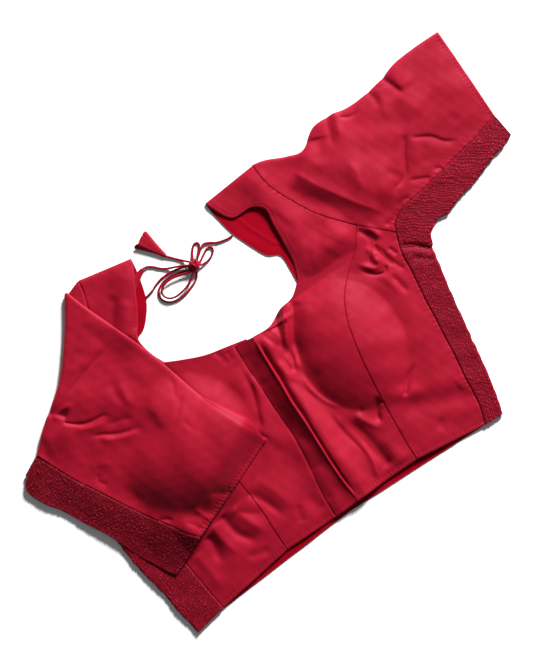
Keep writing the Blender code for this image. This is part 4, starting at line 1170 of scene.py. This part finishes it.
foldedStyle = {
    "perRow": 19,
    "step": 1.6,
    "under": 3.5,
    "width": 175,
    "turnRows": 8,
    "underRows": 22,
    "underRise": 3.0,         # the lower layer over the body's front
    "upperRise": 5.7,         # and the upper layer
    "lowestRise": 2.6,
    "turnFade": 3,
    "tentAt": (-107, 131),    # where the sleeve stands highest, over the cup beneath
    "tentReach": (86, 132, 64, 70),    # towards the band, towards the crown, up, down
    "tentRise": 25.2,
    "hemAt": (-34, 109),      # a point on the hem, and the way up from it
    "hemUp": (-0.406, 0.914),
    "clothAround": 160,       # mm of cloth from fold to seam
}
foldedCreases = (
    # short folds run in from the turn
    ((-226,262, -212,252, -205,243), 7, 3, -3, 1.5, 0.2, 0.2),
    ((-222,252, -204,256, -190,252), 3, 5, 1.8, 1.5, 0.2, 0.3),
    ((-214,244, -205,236, -196,230, -184,227, -172,226, -163,219), 2, 1.6, -2.6, 1.2, 0.1, 0.35),
    ((-206,231, -190,222, -170,220), 2.4, 5, 1.5, 1.4, 0.2, 0.3),
    ((-196,213, -184,209, -172,202, -158,197, -146,195, -142,188), 2.2, 1.7, -2.4, 1.2, 0.2, 0.35),
    ((-190,206, -172,197, -156,192, -145,189), 2, 5, 1.5, 1.4, 0.2, 0.2),
    ((-176,214, -160,212, -143,206), 3, 3, -1.1, 1.5, 0.3, 0.3),
    # the soft hollow beneath them
    ((-264,216, -243,184, -220,150), 30, 30, -3, 2, 0.2, 0.3),
    ((-216,186, -200,181, -186,172), 5, 4, 0.9, 1.6, 0.2, 0.4),
    ((-210,176, -214,167, -207,158), 3, 2.2, -1.1, 1.3, 0.2, 0.2),
    # folds along the crown
    ((-126,288, -158,279, -188,268, -200,269), 2.2, 2, -1.6, 1.3, 0.2, 0.3),
    ((-130,296, -160,288, -186,280), 7, 6, 1.2, 2, 0.3, 0.3),
    ((-168,300, -150,290, -136,286), 6, 6, -0.8, 2, 0.3, 0.3),
    ((-144,257, -147,238, -147,222), 6, 5, -1.2, 1.8, 0.3, 0.3),
    ((-136,250, -140,230, -138,214), 5, 4, 1, 1.8, 0.3, 0.3),
    ((-134,330, -124,312, -116,296), 8, 8, 1, 2, 0.2, 0.3),
    ((-122,262, -112,244, -106,226), 9, 9, 0.9, 2, 0.3, 0.3),
    ((-126,212, -120,196, -122,176), 10, 5, 1.3, 1.8, 0.3, 0.4),
    ((-86,226, -90,210, -96,197), 3, 4, -0.8, 1.4, 0.3, 0.4),
    ((-84,200, -94,192, -104,180), 3, 4, -0.7, 1.4, 0.3, 0.4),
    ((-100,178, -97,168, -94,158), 3, 3.5, -0.7, 1.5, 0.3, 0.3),
    # over the cup: it drops away to a hollow, and rises again to the band
    ((-246,236, -222,234, -196,236), 10, 16, 2.4, 2, 0.2, 0.4),
    ((-200,158, -186,128, -168,104, -148,86, -128,70), 14, 12, -2.2, 1.7, 0.3, 0.1),
    ((-190,108, -172,82, -150,58), 16, 20, 3.8, 1.8, 0.4, 0),
    ((-182,96, -174,94, -166,88), 2.4, 2.4, -1.6, 1.4, 0.2, 0.3),
    ((-140,88, -136,76, -130,66), 3, 4, 1.4, 1.5, 0.2, 0.2),
    ((-158,80, -150,72, -146,62), 3, 3, -1, 1.5, 0.3, 0.2),
    ((-118,96, -104,84, -92,82), 6, 4, -1.2, 1.7, 0.3, 0.2),
)


def foldedRise(x, y):
    # the upper layer of the folded sleeve above the body's form
    towardBand, towardCrown, upward, downward = foldedStyle["tentReach"]
    out = x - foldedStyle["tentAt"][0]
    up = y - foldedStyle["tentAt"][1]
    tent = np.hypot(out / np.where(out < 0, towardBand, towardCrown),
                    up / np.where(up > 0, upward, downward))
    tent = (np.hypot(tent, 0.2) - 0.2) / 0.82
    steep = 1.35 + 0.95 * smoothStep((out + 30) / 70)    # straight to the band, rounder elsewhere
    stand = foldedStyle["tentRise"] * (1 - tent ** steep) - (formHeight(x, y) - garment["frontLevel"])
    hemX, hemY = foldedStyle["hemAt"]
    upX, upY = foldedStyle["hemUp"]
    fromHem = (y - hemY) * upY + (x - hemX) * upX
    rise = foldedStyle["upperRise"] + creaseRise(x, y, foldedCreases)
    rise = rise + np.logaddexp(0, stand / 1.6) * 1.6 * smoothStep(fromHem / 34)
    rise = rise + unevenness(x, y, 51, 44, 0.4) + unevenness(x, y, 52, 16, 0.12)
    return easeAbove(rise, foldedStyle["lowestRise"])


def turnedBack(columns, armhole, samples, perRow, underRows, highBottom, lowBottom, rise, extra,
               turnCurve=None):
    # hem to turn line on top, round the turn, and under to the armhole
    share, level, push = samples
    places = rowPlaces(0, len(sleeveRight) - 1, perRow)[::-1]
    shift = 0.0
    if turnCurve:
        shift = curveShift(turnCurve, share, places, foldedStyle["turnFade"])
    plan, outward, run, fromSeam, fromFold = tubePlan(
        column(sleeveRight, columns[0]), column(sleeveRight, columns[1]), places, share, shift)
    x, y = plan[..., 0], plan[..., 1]
    form = formHeight(x, y)
    upper = form + rise(x, y) + extra(run, fromSeam, fromFold)
    lower = form + np.minimum(foldedStyle["underRise"], upper - form - 1.1)
    points = roundTube(plan, outward, level, push, lower, upper)
    turn, turnHeights = points[-1, :, :2], points[-1, :, 2]
    bottoms = highBottom + (lowBottom - highBottom) * level
    isHigh = bottoms > 2.2    # true for the layer that lies on the front
    rows = []
    for bend in np.linspace(0, math.pi, foldedStyle["turnRows"] + 1)[1:]:
        radius = (turnHeights - bottoms) / 2
        spots = turn + np.outer(radius * math.sin(bend), turnOutward)
        rows.append(lift(spots, bottoms + radius * (1 + math.cos(bend))))
    goals = onCurve(armhole, share * (len(armhole) - 1))
    goalHeights = garment["backLevel"] + (frontHeight(goals[:, 0], goals[:, 1])
                                          - garment["backLevel"]) * isHigh
    gap = garment["armholeGap"] / np.linalg.norm(goals - turn, axis=1)
    for part in np.linspace(0, 1, underRows + 1)[1:]:
        spots = turn + (goals - turn) * (part * (1 - gap))[:, None]
        z = bottoms + (goalHeights - bottoms) * smoothStep(part)
        z = z + unevenness(spots[:, 0], spots[:, 1], 61, 26, 0.25) * math.sin(math.pi * part)
        z = z - 0.9 * bell((1 - part) * 60, 1.2) * isHigh
        rows.append(lift(spots, np.maximum(z, bottoms.min())))
    points = np.concatenate((points, rows))
    return points, runAlong(points[:, len(share) // 3]), run, fromSeam, fromFold


def makeFoldedSleeve():
    samples = foldSamples(foldedStyle["width"], foldedStyle["step"], foldedStyle["under"],
                          sleeveStyle["turns"], (0.6, 1.4, 2.4))

    def extra(run, fromSeam, fromFold):
        detail = hemPucker(fromFold, run, 53) + dip(run, 0.7, 0.7)
        detail = detail + dip(fromSeam) + 0.45 * bell(fromSeam, 5)
        detail = detail + seamPucker(run, fromSeam, 54) * 1.8 + dip(run, 2.6, 12)
        return detail + wayDown(fromFold, 1.0, 6)

    points, along, run, fromSeam, fromFold = turnedBack(
        (0, 1), armholePoints(strapRight, bodyRight), samples, foldedStyle["perRow"],
        foldedStyle["underRows"], garment["frontLevel"], garment["backLevel"], foldedRise, extra,
        turnLine)
    uv = np.stack(np.meshgrid(along, samples[0] * foldedStyle["clothAround"], indexing="ij"), axis=-1)
    nearest = np.full(points.shape[:2], 9.0)
    nearest[:run.shape[0]] = np.minimum(run, fromSeam)
    piece = makeSheet("sleeveRight", points, uv, edgeWearAndSheenOf(nearest))
    return sewIn(piece, "sleeve_right")


sleeveRightPiece = makeFoldedSleeve()

print("shirred bands")

bandStyle = {
    "across": 0.6,            # mm between points across the band
    "under": 2.4,             # and on the layer beneath
    "along": 0.95,
    "perRow": 22,
    "turns": 6,
    "rise": 0.9,              # stands this much over the cloth beside it
    "underHeight": 0.35,      # of the gathers on the layer beneath
    "foldedWidth": 46,
    "foldedPerRow": 28,
    "foldedUnderRows": 14,
    "foldedRise": 0.6,        # over the folded sleeve
    "foldedDrop": 3.8,        # and down again towards its fold
    "foldedRun": 26,
}


def gathers(across, run, level, seed):
    # puffs of cloth between the rows of elastic thread, from 0 in the gathers to 1
    across = across + 80 * (level[None, :] < 0.5)    # the layer beneath has gathers of its own
    dice = np.random.default_rng(seed)
    row = run / shirredStyle["threadSpacing"] + unevenness(across, run, seed + 5, 16, 0.45)
    line = np.floor(row).astype(int)
    inRow = row - line
    line = line - line.min()
    phases = np.cumsum(dice.uniform(-0.45, 0.45, line.max() + 1))
    gather = across / shirredStyle["gatherSpacing"] + phases[line]
    gather = gather + 0.3 * np.sin(run / 23 + seed) + 0.22 * np.sin(run * 1.1 + across * 0.6)
    gather = gather + unevenness(across, run, seed + 9, 12, 0.35)
    number = np.floor(gather).astype(int)
    number = number - number.min()
    strengths = dice.uniform(0.35, 1.0, (line.max() + 1, number.max() + 1))
    puff = (0.5 - 0.5 * np.cos(2 * math.pi * gather)) * np.sin(math.pi * inRow) ** 0.7
    return puff * strengths[line, number]


def bandSamples(width):
    return foldSamples(width, bandStyle["across"], bandStyle["under"], bandStyle["turns"])


def makeBand(name, node, rows, foldColumn, width, seed, creases, gap):
    share, level, push = bandSamples(width)
    places = rowPlaces(gap, len(rows) - 1, bandStyle["perRow"] / bandStyle["along"])
    plan, outward, run, fromSeam, fromFold = tubePlan(
        column(rows, foldColumn), column(rows, foldColumn - 1), places, share)
    x, y = plan[..., 0], plan[..., 1]
    puff = gathers(fromFold, run, level, seed)
    depth = np.where(level > 0.5, shirredStyle["gatherHeight"], bandStyle["underHeight"])[None, :]
    top = frontHeight(x, y) + bandStyle["rise"] + creaseRise(x, y, creases)
    top = np.maximum(top, 2.5) + (puff - 0.4) * depth * (1 - bell(fromSeam, 1.5))
    top = top + dip(fromSeam, 1.2, 1.2)
    bottom = garment["shirredBackLevel"] + puff * 0.15
    points = roundTube(plan, outward, level, push, bottom, np.maximum(top, bottom + 1.0))
    # gathers scallop the folded edge
    edging = bell(fromFold, 5) * (unevenness(run, run * 0, seed, 9, 0.3) + puff * 0.3)
    points[..., :2] += outward * edging[..., None]
    piece = makeSheet(name, points, np.stack((fromFold, run), axis=-1), {"puff": puff}, shirred,
                      garment["shirredCloth"])
    return sewIn(piece, node)


sideCreases = (
    ((204,211, 218,202, 234,188), 3, 3.5, -2.6, 1.6, 0.1, 0.1),
    ((206,196, 218,186, 230,176), 3, 4, -1, 2, 0.3, 0.3),
)
makeBand("sideBandLeft", "side_band_left", bodyLeft[::-1], 3, 30, 71, sideCreases, 0.02)
makeBand("sideBandRight", "side_band_right", bodyRight[::-1], 3, 40, 72, (), 0.02)
makeBand("sleeveBandLeft", "sleeve_band_left", sleeveLeft, 2, 33, 73, (), 0.01)


def makeFoldedBand():
    samples = bandSamples(bandStyle["foldedWidth"])
    share, level = samples[:2]

    def rise(x, y):
        return foldedRise(x, y) + bandStyle["foldedRise"]

    def extra(run, fromSeam, fromFold):
        puff = gathers(fromFold, run, level, 74)
        depth = np.where(level > 0.5, shirredStyle["gatherHeight"], 0.3)[None, :]
        return ((puff - 0.4) * depth + dip(fromSeam, 0.9, 1.2)
                + dip(fromFold, bandStyle["foldedDrop"], bandStyle["foldedRun"]))

    bandEnd = (column(bodyRight, 3)[-1], column(bodyRight, 2)[-1])
    points, along, run, fromSeam, fromFold = turnedBack(
        (2, 1), bandEnd, samples, bandStyle["foldedPerRow"] / bandStyle["along"],
        bandStyle["foldedUnderRows"], garment["frontLevel"] + bandStyle["rise"],
        garment["shirredBackLevel"], rise, extra)
    puff = np.full(points.shape[:2], 0.5)
    puff[:run.shape[0]] = gathers(fromFold, run, level, 74)
    uv = np.stack(np.meshgrid(along, share * bandStyle["foldedWidth"], indexing="ij")[::-1], axis=-1)
    # painted shade: this band's gathers are coloured flatter and darker all over
    piece = makeSheet("sleeveBandRight", points, uv, {"puff": puff * 0.7 - 0.12}, shirred,
                      garment["shirredCloth"])
    return sewIn(piece, "sleeve_band_right")


makeFoldedBand()

print("stitches")

stitchStyle = {
    "thickness": 0.55,        # mm, thicker than the real thread so that it shows
    # spacing, length, degrees off the row
    "over": (4.5, 3.8, 100),
    "hem": (4.4, 1.6, 96),
    "sleeveHem": (5.0, 1.6, 96),
    "prick": (5.0, 1.1, 0),
}

# matt sewing thread, a little darker than the cloth
sewingThread = makeMottled("sewingThread", {"Roughness": 0.7}, {"Scale": 900, "Detail": 2},
                           ("640614", "7C0C20"))


def makeStitches(name, rows):
    # one stitch, copied along each row
    pickOnly()
    bpy.ops.mesh.primitive_uv_sphere_add(segments=6, ring_count=4, radius=1)
    first = bpy.context.object
    first.data.shade_smooth()
    first.data.materials.append(sewingThread)
    half = stitchStyle["thickness"] / 2 * mm
    stitches = []
    for piece, kind, seed, points in rows:
        spacing, length, lean = stitchStyle[kind]
        dice = np.random.default_rng(seed)
        line = onCurve(points, np.linspace(0, len(points) - 1, 30 * len(points)))
        run = runAlong(line)
        goal = spacing / 2
        while goal < run[-1]:
            spot = pointAt(line, run, goal)
            along = pointAt(line, run, goal + 2) - pointAt(line, run, goal - 2)
            goal += spacing * dice.uniform(0.82, 1.2)
            hit, place, normal = piece.ray_cast(toModel((*spot, 60)), (0, 0, -1))[:3]
            if not hit:
                continue
            angle = math.atan2(along[1], along[0]) + math.radians(lean + dice.uniform(-12, 12))
            rise = -normal.x * math.cos(angle) - normal.y * math.sin(angle)
            stitch = first.copy()
            bpy.context.scene.collection.objects.link(stitch)
            stitch.location = place + normal * 0.1 * mm
            stitch.rotation_euler = (0, -math.atan2(rise, normal.z), angle)
            stitch.scale = (length * dice.uniform(0.85, 1.15) / 2 * mm, half, half)
            stitches.append(stitch)
    bpy.data.objects.remove(first)
    for stitch in stitches:
        stitch.data = stitch.data.copy()
    giveTo(joinInto(name, stitches))


leftHem = ((22, 3), (60, 5), (94, 7), (136, 2), (176, -1))
rightHem = ((-22, 2), (-60, 0), (-84, -2), (-130, -12), (-170, -20))
makeStitches("hemStitches", (
    (sleeveRightPiece, "over", 91, ((-146, 60), (-122, 71), (-100, 81), (-80, 90), (-60, 99),
                                    (-42, 106))),
    (frontLeftCentre, "hem", 92, leftHem[:3]),
    (frontLeftSide, "hem", 93, leftHem[2:]),
    (frontRightCentre, "hem", 94, rightHem[:3]),
    (frontRightSide, "hem", 95, rightHem[2:]),
    (sleeveLeftPiece, "sleeveHem", 96, ((361, 384), (357, 350), (356, 310), (362, 284))),
    (frontLeftCentre, "prick", 97, ((90, 240), (98, 259), (100, 283), (101, 304), (100, 320))),
    (frontRightCentre, "prick", 98, ((-16, 214), (-42, 219), (-66, 228), (-86, 238))),
))

print("tassels")

tasselStyle = {
    "wall": 0.7,              # mm
    "pleats": 5,
    "pleatDepth": 0.16,       # share of the half width at the mouth
}
tassels = {
    # narrow end, mouth, half widths, half depths
    "tasselNear": ((-21.4, 339.2, 1.8), (-35.0, 369.0, 3.0), (1.9, 10.6), (1.5, 2.6)),
    "tasselFar": ((-50.4, 339.5, 3.2), (-79.0, 327.0, 4.2), (1.9, 9.0), (1.5, 1.8)),
}


def makeTassel(name, node, seed):
    narrow, mouth, widths, depths = tassels[name]
    narrow = np.array(narrow, float)
    along = np.array(mouth, float) - narrow
    side = np.array((along[1], -along[0], 0)) / math.hypot(along[0], along[1])
    share = np.linspace(0, 1, 40)[:, None]
    angle = np.linspace(0, 2 * math.pi, 73)[None, :]
    dice = np.random.default_rng(seed)
    pleat = np.sin(angle * tasselStyle["pleats"] + dice.uniform(0, 6) + share * 1.2)
    pleat = pleat + 0.5 * np.sin(angle * (tasselStyle["pleats"] * 2 - 1) + dice.uniform(0, 6))
    swell = 1 + tasselStyle["pleatDepth"] * pleat * share
    width = (widths[0] + (widths[1] - widths[0]) * share ** 1.2) * swell
    depth = (depths[0] + (depths[1] - depths[0]) * share) * (1 + 0.8 * (swell - 1))
    mouthWave = 1 + 0.03 * np.sin(angle * 3 + seed) * share ** 4
    centre = narrow + along * (share * mouthWave)[..., None]
    points = centre + side * (width * np.cos(angle))[..., None]
    points[..., 2] += depth * np.sin(angle)
    points[..., 2] = np.maximum(points[..., 2], 0.5 * tasselStyle["wall"])
    uv = np.stack((np.broadcast_to(angle * 8, width.shape),
                   np.broadcast_to(share * np.linalg.norm(along), width.shape)), axis=-1)
    piece = makeSheet(name, points, uv, {}, wall=tasselStyle["wall"])
    applyModifier(piece, "WELD", {"merge_threshold": 0.00002})
    return sewIn(piece, node)


tasselNear = makeTassel("tasselNear", "tassel_near", 81)
tasselFar = makeTassel("tasselFar", "tassel_far", 82)
